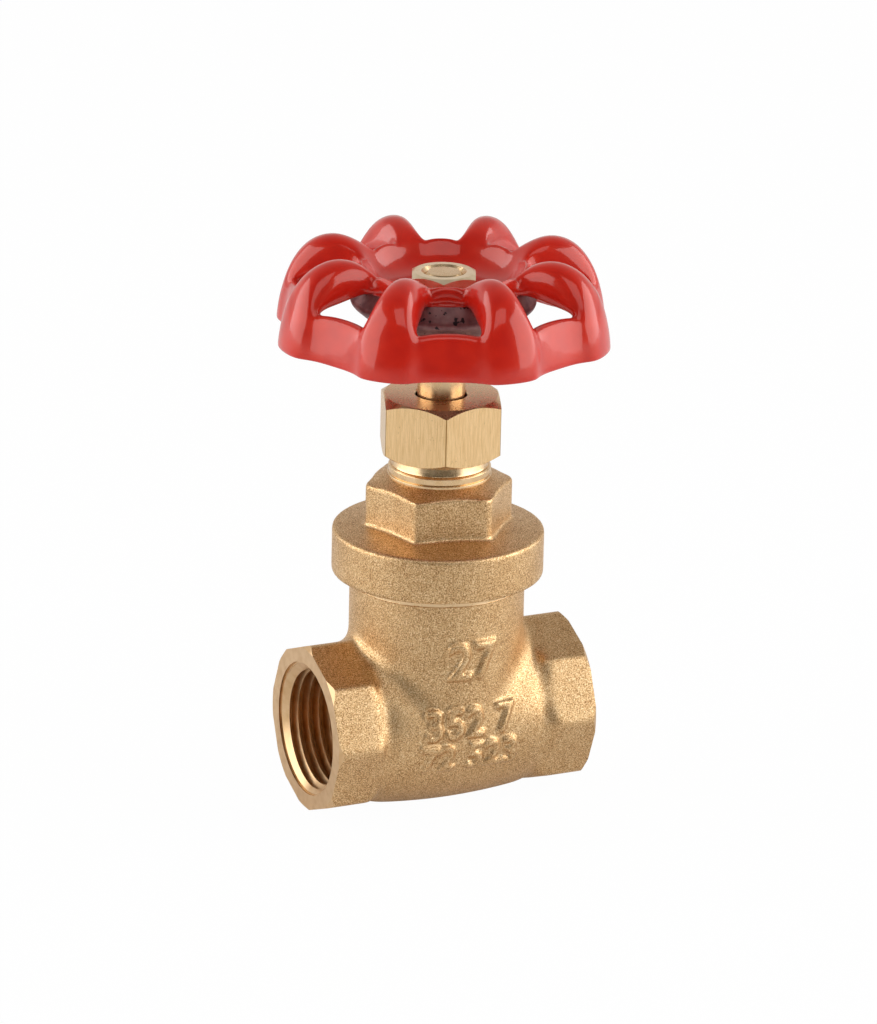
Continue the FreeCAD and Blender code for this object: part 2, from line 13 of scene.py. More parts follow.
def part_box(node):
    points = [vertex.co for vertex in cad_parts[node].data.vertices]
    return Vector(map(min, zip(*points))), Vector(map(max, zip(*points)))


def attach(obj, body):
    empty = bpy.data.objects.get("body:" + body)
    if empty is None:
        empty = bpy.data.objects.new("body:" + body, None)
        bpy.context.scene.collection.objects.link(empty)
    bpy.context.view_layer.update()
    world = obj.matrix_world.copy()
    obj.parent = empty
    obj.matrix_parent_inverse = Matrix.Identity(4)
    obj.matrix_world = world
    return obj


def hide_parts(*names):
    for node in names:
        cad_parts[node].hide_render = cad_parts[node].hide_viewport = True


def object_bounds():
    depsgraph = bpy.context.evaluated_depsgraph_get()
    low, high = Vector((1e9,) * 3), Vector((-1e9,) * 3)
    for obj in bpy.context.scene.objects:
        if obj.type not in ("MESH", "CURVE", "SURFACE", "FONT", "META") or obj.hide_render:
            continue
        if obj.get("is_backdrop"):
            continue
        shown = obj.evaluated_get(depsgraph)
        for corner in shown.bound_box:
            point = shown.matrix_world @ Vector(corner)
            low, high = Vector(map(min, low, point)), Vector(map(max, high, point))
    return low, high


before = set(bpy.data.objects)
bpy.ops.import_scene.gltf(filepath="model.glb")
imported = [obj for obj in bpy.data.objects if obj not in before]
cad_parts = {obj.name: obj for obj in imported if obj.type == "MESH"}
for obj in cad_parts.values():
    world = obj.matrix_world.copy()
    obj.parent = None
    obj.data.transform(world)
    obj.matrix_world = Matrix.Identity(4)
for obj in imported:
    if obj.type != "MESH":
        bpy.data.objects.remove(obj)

LOG = logging.getLogger("gate_valve")
MM = 0.001
FULL_TURN = 2 * math.pi
WELD = 0.002 * MM
SQUARE_CORNER = 65.0  # degrees from +X to a corner of the stem's square
Corner = Tuple[float, ...]
Piece = bpy.types.Object
Material = bpy.types.Material
Tree = bpy.types.NodeTree
Socket = bpy.types.NodeSocket


class Axis(Enum):
    """The line that a turned piece is spun about."""

    PIPE = "X"
    STEM = "Z"


class Join(Enum):
    """How one solid is combined with another."""

    ADD = "UNION"
    CUT = "DIFFERENCE"
    KEEP = "INTERSECT"


# --- Selection and editing ---


def start_clean() -> None:
    """Leave object mode with nothing selected, so that an operator only acts on what comes next."""
    if bpy.context.object and bpy.context.object.mode != "OBJECT":
        bpy.ops.object.mode_set(mode="OBJECT")
    bpy.ops.object.select_all(action="DESELECT")


def pick_only(piece: Piece) -> None:
    """Make a piece the only one that the next operator works on.

    Args:
        piece: the object to select.
    """
    start_clean()
    piece.select_set(True)
    bpy.context.view_layer.objects.active = piece


def edit(piece: Piece, everything: bool = True) -> None:
    """Open a piece in edit mode.

    Args:
        piece: the mesh object to edit.
        everything: whether all of its mesh is selected.
    """
    pick_only(piece)
    bpy.ops.object.mode_set(mode="EDIT")
    bpy.ops.mesh.select_all(action="SELECT" if everything else "DESELECT")


def close_edit() -> None:
    """Go back to object mode."""
    bpy.ops.object.mode_set(mode="OBJECT")


def choose(piece: Piece, kind: str, wanted: Callable[[object], bool]) -> None:
    """Open a piece in edit mode with only the wanted points, edges or faces selected.

    Args:
        piece: the mesh object.
        kind: "VERT", "EDGE" or "FACE".
        wanted: the test that each element of the mesh must pass.
    """
    edit(piece, everything=False)
    bpy.ops.mesh.select_mode(type=kind)
    close_edit()
    elements = {"VERT": piece.data.vertices, "EDGE": piece.data.edges, "FACE": piece.data.polygons}[kind]
    for element in elements:
        element.select = wanted(element)
    bpy.ops.object.mode_set(mode="EDIT")


def apply_modifier(piece: Piece, kind: str, **settings: object) -> None:
    """Add a modifier, set it up and apply it.

    Args:
        piece: the mesh object.
        kind: the modifier's type name.
        **settings: properties of the modifier.
    """
    pick_only(piece)
    modifier = piece.modifiers.new(kind.lower(), kind)
    for name, value in settings.items():
        setattr(modifier, name, value)
    bpy.ops.object.modifier_apply(modifier=modifier.name)


def weld(piece: Piece) -> None:
    """Merge doubled points and turn all faces outwards.

    Args:
        piece: the mesh object.
    """
    edit(piece)
    bpy.ops.mesh.remove_doubles(threshold=WELD)
    bpy.ops.mesh.normals_make_consistent(inside=False)
    close_edit()


def combine(piece: Piece, tool: Piece, how: Join) -> Piece:
    """Join, cut or intersect a piece with a tool, which is used up. Faces keep their own materials.

    Args:
        piece: the solid that stays.
        tool: the solid that it is combined with.
        how: the kind of combination.

    Returns:
        The changed piece.
    """
    apply_modifier(piece, "BOOLEAN", operation=how.value, object=tool, solver="MANIFOLD",
                   material_mode="TRANSFER")
    bpy.data.objects.remove(tool, do_unlink=True)
    return piece


def twin(piece: Piece, name: str, turn: float = 0.0) -> Piece:
    """Copy a piece with its own mesh, turned about the stem axis.

    Args:
        piece: the object to copy.
        name: the copy's name.
        turn: the angle in radians, anticlockwise from above.

    Returns:
        The copy, its turn already in its mesh.
    """
    copy = piece.copy()
    copy.data = piece.data.copy()
    copy.name = name
    bpy.context.scene.collection.objects.link(copy)
    copy.data.transform(Matrix.Rotation(turn, 4, "Z"))
    return copy


def give(piece: Piece, material: Material) -> Piece:
    """Make this the only material of a piece.

    Args:
        piece: the mesh object.
        material: the finish of all of its faces.

    Returns:
        The same piece.
    """
    piece.data.materials.clear()
    piece.data.materials.append(material)
    for face in piece.data.polygons:
        face.material_index = 0
    return piece


def cut(piece: Piece, tool: Piece, finish: Material) -> None:
    """Cut a tool out of a piece, with this finish on the faces that it leaves."""
    combine(piece, give(tool, finish), Join.CUT)


def smooth(piece: Piece, angle: float = 32.0) -> None:
    """Shade smooth, with a crease wherever two faces meet at more than this many degrees."""
    pick_only(piece)
    bpy.ops.object.shade_smooth_by_angle(angle=math.radians(angle))


# --- Shapes ---


def rounded(outline: Sequence[Corner], steps: int = 4) -> List[Tuple[float, float]]:
    """Replace each corner that has a radius by an arc.

    Args:
        outline: corners as (radius, height) or (radius, height, rounding), in millimetres.
        steps: the number of pieces in each arc.

    Returns:
        The points of the rounded outline.
    """
    points: List[Tuple[float, float]] = []
    for index, corner in enumerate(outline):
        here = Vector(corner[:2])
        rounding = corner[2] if len(corner) > 2 else 0.0
        if not rounding:
            points.append((here.x, here.y))
            continue
        before = (Vector(outline[index - 1][:2]) - here).normalized()
        after = (Vector(outline[(index + 1) % len(outline)][:2]) - here).normalized()
        half = before.angle(after) / 2
        centre = here + (before + after).normalized() * (rounding / math.sin(half))
        first = here + before * (rounding / math.tan(half)) - centre
        last = here + after * (rounding / math.tan(half)) - centre
        sweep = first.angle_signed(last)
        for step in range(steps + 1):
            spoke = first.copy()
            spoke.rotate(Matrix.Rotation(-sweep * step / steps, 2))
            points.append(tuple(centre + spoke))
    return points


def wire(name: str, points: Sequence[Tuple[float, float]], axis: Axis) -> Piece:
    """Draw an outline in the plane of an axis by extruding one point along it.

    Args:
        name: the new object's name.
        points: (distance from the axis, place along it) in millimetres.
        axis: the line that the outline will be spun about.

    Returns:
        The wire, a mesh of edges only.
    """
    places = [Vector((p[1], 0, p[0])) if axis is Axis.PIPE else Vector((p[0], 0, p[1])) for p in points]
    start_clean()
    bpy.ops.mesh.primitive_plane_add(size=MM)
    piece = bpy.context.object
    piece.name = name
    bpy.ops.object.mode_set(mode="EDIT")
    bpy.ops.mesh.select_all(action="SELECT")
    bpy.ops.mesh.merge(type="CENTER")
    bpy.ops.transform.translate(value=places[0] * MM)
    for before, after in zip(places, places[1:]):
        bpy.ops.mesh.extrude_vertices_move(TRANSFORM_OT_translate={"value": (after - before) * MM})
    close_edit()
    return piece


def turned(name: str, outline: Sequence[Corner], axis: Axis = Axis.STEM, closed: bool = False,
           steps: int = 128) -> Piece:
    """Turn a solid on a lathe.

    Args:
        name: the new object's name.
        outline: corners (radius, place along the axis, optional rounding) in millimetres.
        axis: the line to spin about.
        closed: whether the outline is a ring's section, clear of the axis.
        steps: flats round the full turn.

    Returns:
        The closed solid.
    """
    points = rounded(outline)
    piece = wire(name, points + points[:1] if closed else points, axis)
    edit(piece)
    line = (1, 0, 0) if axis is Axis.PIPE else (0, 0, 1)
    bpy.ops.mesh.spin(steps=steps, angle=FULL_TURN, center=(0, 0, 0), axis=line)
    close_edit()
    weld(piece)
    return piece


def rod(name: str, radius: float, start: float, end: float, axis: Axis = Axis.STEM) -> Piece:
    """A plain cylinder round an axis, from one place along it to another, all in millimetres."""
    return turned(name, [(0, start), (radius, start), (radius, end), (0, end)], axis)


def prism(name: str, sides: int, flats: float, bottom: float, top: float, corner_turn: float,
          axis: Axis = Axis.STEM, edge: float = 0.0) -> Piece:
    """A regular prism whose long edges are eased.

    Args:
        name: the new object's name.
        sides: number of sides.
        flats: distance across the flats in millimetres.
        bottom: its lower end along the axis in millimetres.
        top: its upper end along the axis in millimetres.
        corner_turn: angle of one corner from +X in degrees, or from +Z on the pipe line.
        axis: the line that it stands along.
        edge: the width of the rounding on its long edges in millimetres.

    Returns:
        The closed solid.
    """
    start_clean()
    radius = flats / 2 / math.cos(math.pi / sides)
    bpy.ops.mesh.primitive_cylinder_add(vertices=sides, radius=radius * MM, depth=(top - bottom) * MM)
    piece = bpy.context.object
    piece.name = name
    # a primitive's first corner is on +Y
    piece.data.transform(Matrix.Rotation(math.radians(corner_turn - 90), 4, "Z"))
    piece.data.transform(Matrix.Translation((0, 0, (bottom + top) / 2 * MM)))
    if axis is Axis.PIPE:
        piece.data.transform(Matrix.Rotation(math.pi / 2, 4, "Y"))
    if edge:
        points = piece.data.vertices
        across = 0 if axis is Axis.PIPE else 2
        choose(piece, "EDGE", lambda side: abs(points[side.vertices[0]].co[across]
                                               - points[side.vertices[1]].co[across]) > MM)
        bpy.ops.mesh.bevel(offset=edge * MM, segments=3, affect="EDGES")
        bpy.ops.mesh.select_mode(type="VERT")
        close_edit()
    return piece


def screw_rod(name: str, profile: Sequence[Tuple[float, float]], pitch: float, start: float, end: float,
              axis: Axis, left_hand: bool = False, steps: int = 96) -> Piece:
    """A rod with a helical thread and flat ends.

    Args:
        name: the new object's name.
        profile: one turn of the thread as (radius, place within the pitch) in millimetres.
        pitch: the lead of one turn in millimetres.
        start: the lower end along the axis.
        end: the upper end along the axis.
        axis: the thread's axis.
        left_hand: whether the helix is left-handed.
        steps: flats round one turn.

    Returns:
        The closed solid.
    """
    turns = math.ceil((end - start) / pitch) + 3
    first = start - 1.413 * pitch
    points = [(radius, first + turn * pitch + place)
              for turn in range(turns) for radius, place in profile]
    points.append((profile[0][0], first + turns * pitch))
    rod = wire(name, points, axis)
    apply_modifier(rod, "SCREW", axis=axis.value, angle=-FULL_TURN if left_hand else FULL_TURN,
                   screw_offset=pitch * MM, iterations=1, steps=steps, render_steps=steps,
                   use_merge_vertices=True, merge_threshold=WELD)
    normal = Vector((1, 0, 0)) if axis is Axis.PIPE else Vector((0, 0, 1))
    edit(rod)
    bpy.ops.mesh.remove_doubles(threshold=WELD)
    bpy.ops.mesh.bisect(plane_co=normal * start * MM, plane_no=normal, use_fill=True, clear_inner=True)
    bpy.ops.mesh.select_all(action="SELECT")
    bpy.ops.mesh.bisect(plane_co=normal * end * MM, plane_no=normal, use_fill=True, clear_outer=True)
    close_edit()
    weld(rod)
    return rod


def recast(piece: Piece, grain: float, passes: int) -> None:
    """Soften a blank like a sand casting: a new mesh of this grain in millimetres, smoothed in passes."""
    apply_modifier(piece, "REMESH", mode="VOXEL", voxel_size=grain * MM)
    apply_modifier(piece, "SMOOTH", factor=0.5, iterations=passes)


def ease(piece: Piece, wanted: Callable[[object], bool], passes: int) -> None:
    """Smooth only some of a casting's points, as a pattern maker fills a corner with a fillet.

    Args:
        piece: the casting.
        wanted: the test for the points that move.
        passes: how many times they are smoothed.
    """
    choose(piece, "VERT", wanted)
    bpy.ops.mesh.vertices_smooth(factor=0.5, repeat=passes)
    close_edit()


# --- Finishes ---


def shade(hex_colour: str) -> Tuple[float, float, float, float]:
    """Turn an sRGB hex colour to the linear values that a shader takes.

    Args:
        hex_colour: six hex digits.

    Returns:
        Linear red, green and blue, and full alpha.
    """
    parts = [int(hex_colour[index:index + 2], 16) / 255 for index in (0, 2, 4)]
    linear = [part / 12.92 if part <= 0.04045 else ((part + 0.055) / 1.055) ** 2.4 for part in parts]
    return (*linear, 1.0)


def feed(tree: Tree, target: bpy.types.Node, inputs: Dict[object, object]) -> None:
    """Set or link the inputs of a node.

    Args:
        tree: the node tree that it is in.
        target: the node.
        inputs: socket name or number to a value, or to an output socket that is linked to it.
    """
    for key, value in inputs.items():
        if isinstance(value, Socket):
            tree.links.new(value, target.inputs[key])
        else:
            target.inputs[key].default_value = value


def node(tree: Tree, kind: str, inputs: Optional[Dict[object, object]] = None,
         **settings: object) -> bpy.types.Node:
    """Add one node with its settings, values and links.

    Args:
        tree: the node tree of a material or the world.
        kind: the node's type name, without "ShaderNode".
        inputs: socket name or number to a value, or to an output socket that is linked to it.
        **settings: properties of the node.

    Returns:
        The new node.
    """
    made = tree.nodes.new(f"ShaderNode{kind}")
    for name, value in settings.items():
        setattr(made, name, value)
    feed(tree, made, inputs or {})
    return made


def tones(tree: Tree, factor: Socket, stops: Sequence[Tuple[float, str]]) -> Socket:
    """Turn the strength of a pattern to a run of colours.

    Args:
        tree: the node tree.
        factor: what drives it.
        stops: (position, sRGB hex colour), in order.

    Returns:
        Its colour output.
    """
    made = node(tree, "ValToRGB", {0: factor})
    elements = made.color_ramp.elements
    while len(elements) < len(stops):
        elements.new(0.5)
    for element, (position, colour) in zip(elements, stops):
        element.position = position
        element.color = shade(colour)
    return made.outputs[0]


def per_mm(size: float) -> float:
    """The texture scale whose features are this many millimetres across."""
    return 1.0 / (size * MM)


def ring_scale(pitch: float) -> float:
    """The Wave texture scale whose bands lie this many millimetres apart."""
    return FULL_TURN / (20 * pitch * MM)


def blank_material(name: str) -> Tuple[Tree, bpy.types.Node, Socket, Material]:
    """Start a material with a Principled shader.

    Args:
        name: the material's name.

    Returns:
        Its node tree, its shader, the object coordinates and the material.
    """
    material = bpy.data.materials.new(name)
    material.use_nodes = True
    tree = material.node_tree
    shader = tree.nodes["Principled BSDF"]
    coordinates = node(tree, "TexCoord").outputs["Object"]
    return tree, shader, coordinates, material


@dataclass(frozen=True)
class CastBrass:
    """Sand-cast brass, shot-blasted and bright-dipped: soft tan gold, with the dimples' sparkle painted
    into the colour as pale glints and dark shade.
    """

    name: str = "cast_brass_shot_blasted"
    grain: float = 0.19
    mottle: float = 3.5
    cloudiness: float = 0.08
    pit: str = "845F39"
    mid: str = "D2A976"
    painted_glint: str = "F8E0B4"
    roughness: float = 0.44
    relief: float = 0.03

    def make(self) -> Material:
        """Build the material.

        Returns:
            The finished material.
        """
        tree, shader, place, material = blank_material(self.name)
        dimples = node(tree, "TexNoise", {"Vector": place, "Scale": per_mm(self.grain), "Detail": 3.0,
                                          "Roughness": 0.62})
        cloud = node(tree, "TexNoise", {"Vector": place, "Scale": per_mm(self.mottle), "Detail": 2.0})
        blend = node(tree, "Math", {0: dimples.outputs["Fac"], 1: 1.0 - self.cloudiness},
                     operation="MULTIPLY")
        tint = node(tree, "Math", {0: cloud.outputs["Fac"], 1: self.cloudiness, 2: blend.outputs[0]},
                    operation="MULTIPLY_ADD")
        # the dimple noise runs from a dark pit tone to a pale glint: painted highlight and painted shade
        # on the dimples; the cloud is the metal's own uneven tone
        colour = tones(tree, tint.outputs[0], [(0.34, self.pit), (0.5, self.mid), (0.66, self.painted_glint)])
        bump = node(tree, "Bump", {"Height": dimples.outputs["Fac"], "Strength": 1.0,
                                   "Distance": self.relief * MM})
        rough = node(tree, "MapRange", {"Value": dimples.outputs["Fac"], "From Min": 0.3, "From Max": 0.7,
                                        "To Min": self.roughness + 0.1, "To Max": self.roughness - 0.08})
        feed(tree, shader, {"Base Color": colour, "Normal": bump.outputs[0],
                            "Roughness": rough.outputs[0], "Metallic": 1.0})
        return material


@dataclass(frozen=True)
class TurnedBrass:
    """Free-cutting brass turned on a lathe: pale gold with fine rings left by the tool."""

    name: str
    axis: Axis
    feed: float = 0.16
    colour: str = "E6C79C"
    groove: str = "DAB788"
    roughness: float = 0.25
    relief: float = 0.003

    def make(self) -> Material:
        """Build the material.

        Returns:
            The finished material.
        """
        tree, shader, place, material = blank_material(self.name)
        rings = node(tree, "TexWave", {"Vector": place, "Scale": ring_scale(self.feed), "Distortion": 0.4,
                                       "Detail": 1.0}, wave_type="RINGS", rings_direction=self.axis.value)
        smudge = node(tree, "TexNoise", {"Vector": place, "Scale": per_mm(1.6), "Detail": 3.0})
        colour = tones(tree, smudge.outputs["Fac"], [(0.3, self.groove), (0.62, self.colour)])
        bump = node(tree, "Bump", {"Height": rings.outputs["Fac"], "Strength": 0.6,
                                   "Distance": self.relief * MM})
        rough = node(tree, "MapRange", {"Value": smudge.outputs["Fac"], "To Min": self.roughness - 0.05,
                                        "To Max": self.roughness + 0.1})
        feed(tree, shader, {"Base Color": colour, "Normal": bump.outputs[0],
                            "Roughness": rough.outputs[0], "Metallic": 1.0})
        return material


@dataclass(frozen=True)
class DrawnBrass:
    """Hexagon bar drawn through a die: straight hairlines along the bar and a scatter of tiny pits."""

    name: str = "brass_hexagon_bar_drawn"
    line: float = 0.16
    pit: float = 0.45
    colour: str = "EECB98"
    shadow: str = "DDB680"
    pit_colour: str = "8C6438"
    roughness: float = 0.26
    relief: float = 0.004

    def make(self) -> Material:
        """Build the material.

        Returns:
            The finished material.
        """
        tree, shader, place, material = blank_material(self.name)
        stretch = node(tree, "Mapping", {"Vector": place, "Scale": (1.0, 1.0, 0.05)})
        lines = node(tree, "TexNoise", {"Vector": stretch.outputs[0], "Scale": per_mm(self.line),
                                        "Detail": 2.0})
        pits = node(tree, "TexVoronoi", {"Vector": place, "Scale": per_mm(self.pit), "Randomness": 1.0})
        spots = node(tree, "MapRange", {"Value": pits.outputs["Distance"], "From Min": 0.08,
                                        "From Max": 0.2, "To Min": 1.0, "To Max": 0.0})
        thin = node(tree, "TexNoise", {"Vector": place, "Scale": per_mm(1.4), "Detail": 2.0})
        some = node(tree, "MapRange", {"Value": thin.outputs["Fac"], "From Min": 0.5, "From Max": 0.62})
        pitted = node(tree, "Math", {0: spots.outputs[0], 1: some.outputs[0]}, operation="MULTIPLY")
        metal = tones(tree, lines.outputs["Fac"], [(0.32, self.shadow), (0.6, self.colour)])
        mixed = node(tree, "Mix", {0: pitted.outputs[0], 6: metal, 7: shade(self.pit_colour)},
                     data_type="RGBA")
        height = node(tree, "Math", {0: lines.outputs["Fac"], 1: pitted.outputs[0]}, operation="SUBTRACT")
        bump = node(tree, "Bump", {"Height": height.outputs[0], "Strength": 0.8,
                                   "Distance": self.relief * MM})
        feed(tree, shader, {"Base Color": mixed.outputs[2], "Normal": bump.outputs[0], "Metallic": 1.0,
                            "Roughness": self.roughness})
        return material


@dataclass(frozen=True)
class RedEnamel:
    """Stoved gloss enamel dipped over a casting: deep red, wet gloss, slightly wavy where it ran."""

    name: str = "red_enamel_stoved"
    wave: float = 3.2
    colour: str = "CE2213"
    thin_colour: str = "C21B11"
    roughness: float = 0.28
    relief: float = 0.06

    def make(self) -> Material:
        """Build the material.

        Returns:
            The finished material.
        """
        tree, shader, place, material = blank_material(self.name)
        flow = node(tree, "TexNoise", {"Vector": place, "Scale": per_mm(self.wave), "Detail": 1.5})
        colour = tones(tree, flow.outputs["Fac"], [(0.3, self.thin_colour), (0.65, self.colour)])
        bump = node(tree, "Bump", {"Height": flow.outputs["Fac"], "Strength": 0.5,
                                   "Distance": self.relief * MM})
        feed(tree, shader, {"Base Color": colour, "Normal": bump.outputs[0],
                            "Coat Normal": bump.outputs[0], "Roughness": self.roughness, "IOR": 1.5,
                            "Specular Tint": shade("FFB090"), "Coat Weight": 0.7,
                            "Coat Roughness": 0.06, "Coat IOR": 1.5})
        return material


@dataclass(frozen=True)
class BareCasting:
    """The unpainted web under the wheel: grey zinc-alloy skin, stained by paint mist, darkly specked."""

    name: str = "zinc_casting_bare"
    speck: float = 1.1
    skin: str = "94706E"
    stain: str = "6C4648"
    speck_colour: str = "24161A"
    relief: float = 0.04

    def make(self) -> Material:
        """Build the material.

        Returns:
            The finished material.
        """
        tree, shader, place, material = blank_material(self.name)
        mist = node(tree, "TexNoise", {"Vector": place, "Scale": per_mm(2.5), "Detail": 3.0})
        base = tones(tree, mist.outputs["Fac"], [(0.35, self.stain), (0.65, self.skin)])
        dots = node(tree, "TexNoise", {"Vector": place, "Scale": per_mm(self.speck), "Detail": 2.0})
        dark = node(tree, "MapRange", {"Value": dots.outputs["Fac"], "From Min": 0.64, "From Max": 0.68})
        mixed = node(tree, "Mix", {0: dark.outputs[0], 6: base, 7: shade(self.speck_colour)},
                     data_type="RGBA")
        bump = node(tree, "Bump", {"Height": mist.outputs["Fac"], "Strength": 0.6,
                                   "Distance": self.relief * MM})
        feed(tree, shader, {"Base Color": mixed.outputs[2], "Normal": bump.outputs[0], "Metallic": 0.7,
                            "Roughness": 0.5})
        return material


@dataclass(frozen=True)
class SoftRing:
    """A cut or moulded sealing ring with a faint cloudy surface."""

    name: str
    light: str
    dark: str
    grain: float
    roughness: float
    relief: float = 0.02

    def make(self) -> Material:
        """Build the material.

        Returns:
            The finished material.
        """
        tree, shader, place, material = blank_material(self.name)
        cloud = node(tree, "TexNoise", {"Vector": place, "Scale": per_mm(self.grain), "Detail": 3.0})
        colour = tones(tree, cloud.outputs["Fac"], [(0.3, self.dark), (0.7, self.light)])
        bump = node(tree, "Bump", {"Height": cloud.outputs["Fac"], "Strength": 0.5,
                                   "Distance": self.relief * MM})
        feed(tree, shader, {"Base Color": colour, "Normal": bump.outputs[0], "Roughness": self.roughness})
        return material


@dataclass(frozen=True)
class Finishes:
    """Every finish on the valve, made once."""

    cast: Material
    faced: Material
    turned: Material
    bright: Material
    bar: Material
    bar_corner: Material
    enamel: Material
    bare: Material
    packing: Material
    gasket: Material

    @classmethod
    def mix(cls) -> "Finishes":
        """Make all the materials."""
        return cls(
            cast=CastBrass().make(),
            # end faces and port threads: rings about the pipe, browner and duller than the stem's
            faced=TurnedBrass("brass_faced_about_pipe", Axis.PIPE, colour="DFBC90", groove="D2AB7C",
                              roughness=0.3).make(),
            # bands, collars and stem: pale gold streaks with fine rings about the stem
            turned=TurnedBrass("brass_turned_about_stem", Axis.STEM).make(),
            # the little wheel nut: turned brass lifted to nearly white gold, a painted reflection of the
            # bright backdrop, with soft highlights
            bright=TurnedBrass("brass_nut_painted_reflection", Axis.STEM, colour="FAE8CA", groove="EDD6B0",
                               roughness=0.32).make(),
            bar=DrawnBrass().make(),
            # the bar's corners: darker brass that paints the dark reflection along each corner, thin dark
            # lines between bright flats
            bar_corner=DrawnBrass("brass_bar_corner_painted_reflection", colour="A8824C", shadow="8C6A3A").make(),
            enamel=RedEnamel().make(),
            bare=BareCasting().make(),
            # moulded PTFE: waxy milk white
            packing=SoftRing("ptfe_packing_moulded", "F1F0EA", "E2E1DA", 1.2, 0.45).make(),
            # punched vulcanised fibre: dull grey-green, like thick card
            gasket=SoftRing("fibre_gasket_punched", "5E7A6A", "465D50", 0.4, 0.8).make(),
        )


# --- Castings ---


def span(name: str) -> Tuple[Vector, Vector]:
    """The lowest and highest corner of a CAD node in millimetres."""
    low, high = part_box(name)
    return low / MM, high / MM


def settle(piece: Piece, body: str, replaced: str) -> None:
    """Shade a finished piece and tie it to the frame.

    Args:
        piece: the finished mesh.
        body: the CAD body that it moves with.
        replaced: the CAD node that it stands for.
    """
    smooth(piece)
    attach(piece, body)
    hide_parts(replaced)
    LOG.info("%s: %d faces", piece.name, len(piece.data.polygons))


@dataclass
class ValveBody:
    """The cast body: belly, octagon ports and barrel, with its machined faces, threads and seats."""

    finishes: Finishes
    flats: float = 26.0
    port_length: float = 8.0
    belly_end: float = 12.7
    belly_drop: float = 0.8
    belly_edge: float = 0.3
    belly_steps: int = 8
    neck_radius: float = 12.75
    neck_inset: float = 6.0
    barrel: float = 14.0
    top_stock: float = 0.6
    clear: float = 17.0
    face_radius: float = 13.3
    pitch: float = 1.814
    thread_minor: float = 9.3155
    thread_major: float = 10.4775
    thread_depth: float = 10.0
    thread_flat: float = 0.3
    mouth_radius: float = 10.8
    mouth_step: float = 0.4
    chamber: float = 10.8
    waterway: float = 6.25
    waterway_half: float = 16.0
    seat_boss: float = 9.0
    seat_half_gap: float = 6.2
    seat_end: float = 13.0
    seat_tilt: float = 4.0
    rib_size: Tuple[float, float, float] = (2.0, 4.0, 25.5)
    rib_place: Tuple[float, float] = (10.9, 9.75)
    shoulder: float = 24.1
    neck_step: float = 0.55
    stock: float = 0.8
    relief: float = 0.62
    fillet: float = 1.6
    fillet_passes: int = 30
    collar_reach: float = 1.3
    collar_passes: int = 14
    # text, height of its digits and height of its middle above the pipe line
    numerals: Tuple[Tuple[str, float, float], ...] = (("27", 6.2, 13.0), ("352 7", 5.0, 2.7),
                                                      ("72 523", 4.5, -3.0))
    type_scale: float = 1.38
    type_weight: float = 0.14
    type_depth: float = 1.6
    band_foot: float = 22.6
    band_depth: float = 0.15

    def make(self) -> None:
        """Cast the blank, then machine it."""
        _, high = span("valve_body")
        self.face = high.x
        self.top = high.z
        self.body = self.cast_blank()
        self.face_ports()
        self.turn_neck()
        self.hollow_out()
        self.thread_ports()
        settle(self.body, "case", "valve_body")

    def cast_blank(self) -> Piece:
        """Join the belly, the ports, the barrel and the raised numerals, and soften them as one casting.

        Returns:
            The casting with its cast skin.
        """
        edge = self.barrel - self.belly_drop
        neck_end = self.face - self.neck_inset
        places = [2 * step / self.belly_steps - 1 for step in range(1, self.belly_steps)]
        outline = [(0, -neck_end), (self.neck_radius, -neck_end),
                   (self.neck_radius, -self.belly_end - 0.1), (edge, -self.belly_end, self.belly_edge)]
        outline += [(self.barrel - self.belly_drop * place ** 2, place * self.belly_end)
                    for place in places]
        outline += [(edge, self.belly_end, self.belly_edge), (self.neck_radius, self.belly_end + 0.1),
                    (self.neck_radius, neck_end), (0, neck_end)]
        blank = turned("body_casting", outline, Axis.PIPE)
        combine(blank, rod("barrel", self.barrel, 0, self.top + self.top_stock), Join.ADD)
        recast(blank, grain=0.5, passes=24)
        self.fill_saddle(blank)
        inner = self.face - self.port_length
        for name, start, end in (("port_a", -self.face - self.stock, -inner),
                                 ("port_b", inner, self.face + self.stock)):
            octagon = prism(name, 8, self.flats, start, end, corner_turn=90, axis=Axis.PIPE, edge=0.5)
            combine(blank, octagon, Join.ADD)
        recast(blank, grain=0.36, passes=4)
        self.ease_collars(blank)
        skin = twin(blank, "numeral_skin")
        apply_modifier(skin, "DISPLACE", strength=self.relief * MM, mid_level=0.0, direction="NORMAL")
        for text, size, height in self.numerals:
            digits = self.numeral(text, size, height)
            combine(digits, twin(skin, "numeral_limit"), Join.KEEP)
            combine(blank, digits, Join.ADD)
        bpy.data.objects.remove(skin, do_unlink=True)
        recast(blank, grain=0.3, passes=4)
        return give(blank, self.finishes.cast)

    def fill_saddle(self, blank: Piece) -> None:
        """Ease the corner where the barrel stands on the belly into a pattern maker's fillet.

        Args:
            blank: the joined casting.
        """
        reach = self.fillet * MM

        def in_corner(point: bpy.types.MeshVertex) -> bool:
            """Tell the points of the corner from the others.

            Args:
                point: a point of the casting.

            Returns:
                Whether it lies near both the barrel's wall and the belly's, above the pipe line.
            """
            x, y, z = point.co
            from_stem = abs(math.hypot(x, y) - self.barrel * MM)
            from_pipe = abs(math.hypot(y, z) - (self.barrel - self.belly_drop) * MM)
            return z > 0 and abs(x) > 2 * MM and from_stem < reach and from_pipe < reach

        ease(blank, in_corner, self.fillet_passes)

    def ease_collars(self, blank: Piece) -> None:
        """Round the octagons' inner edges into the necks behind them.

        Args:
            blank: the joined casting.
        """
        inner = (self.face - self.port_length) * MM
        reach = self.collar_reach * MM
        ease(blank, lambda point: abs(abs(point.co.x) - inner) < reach, self.collar_passes)

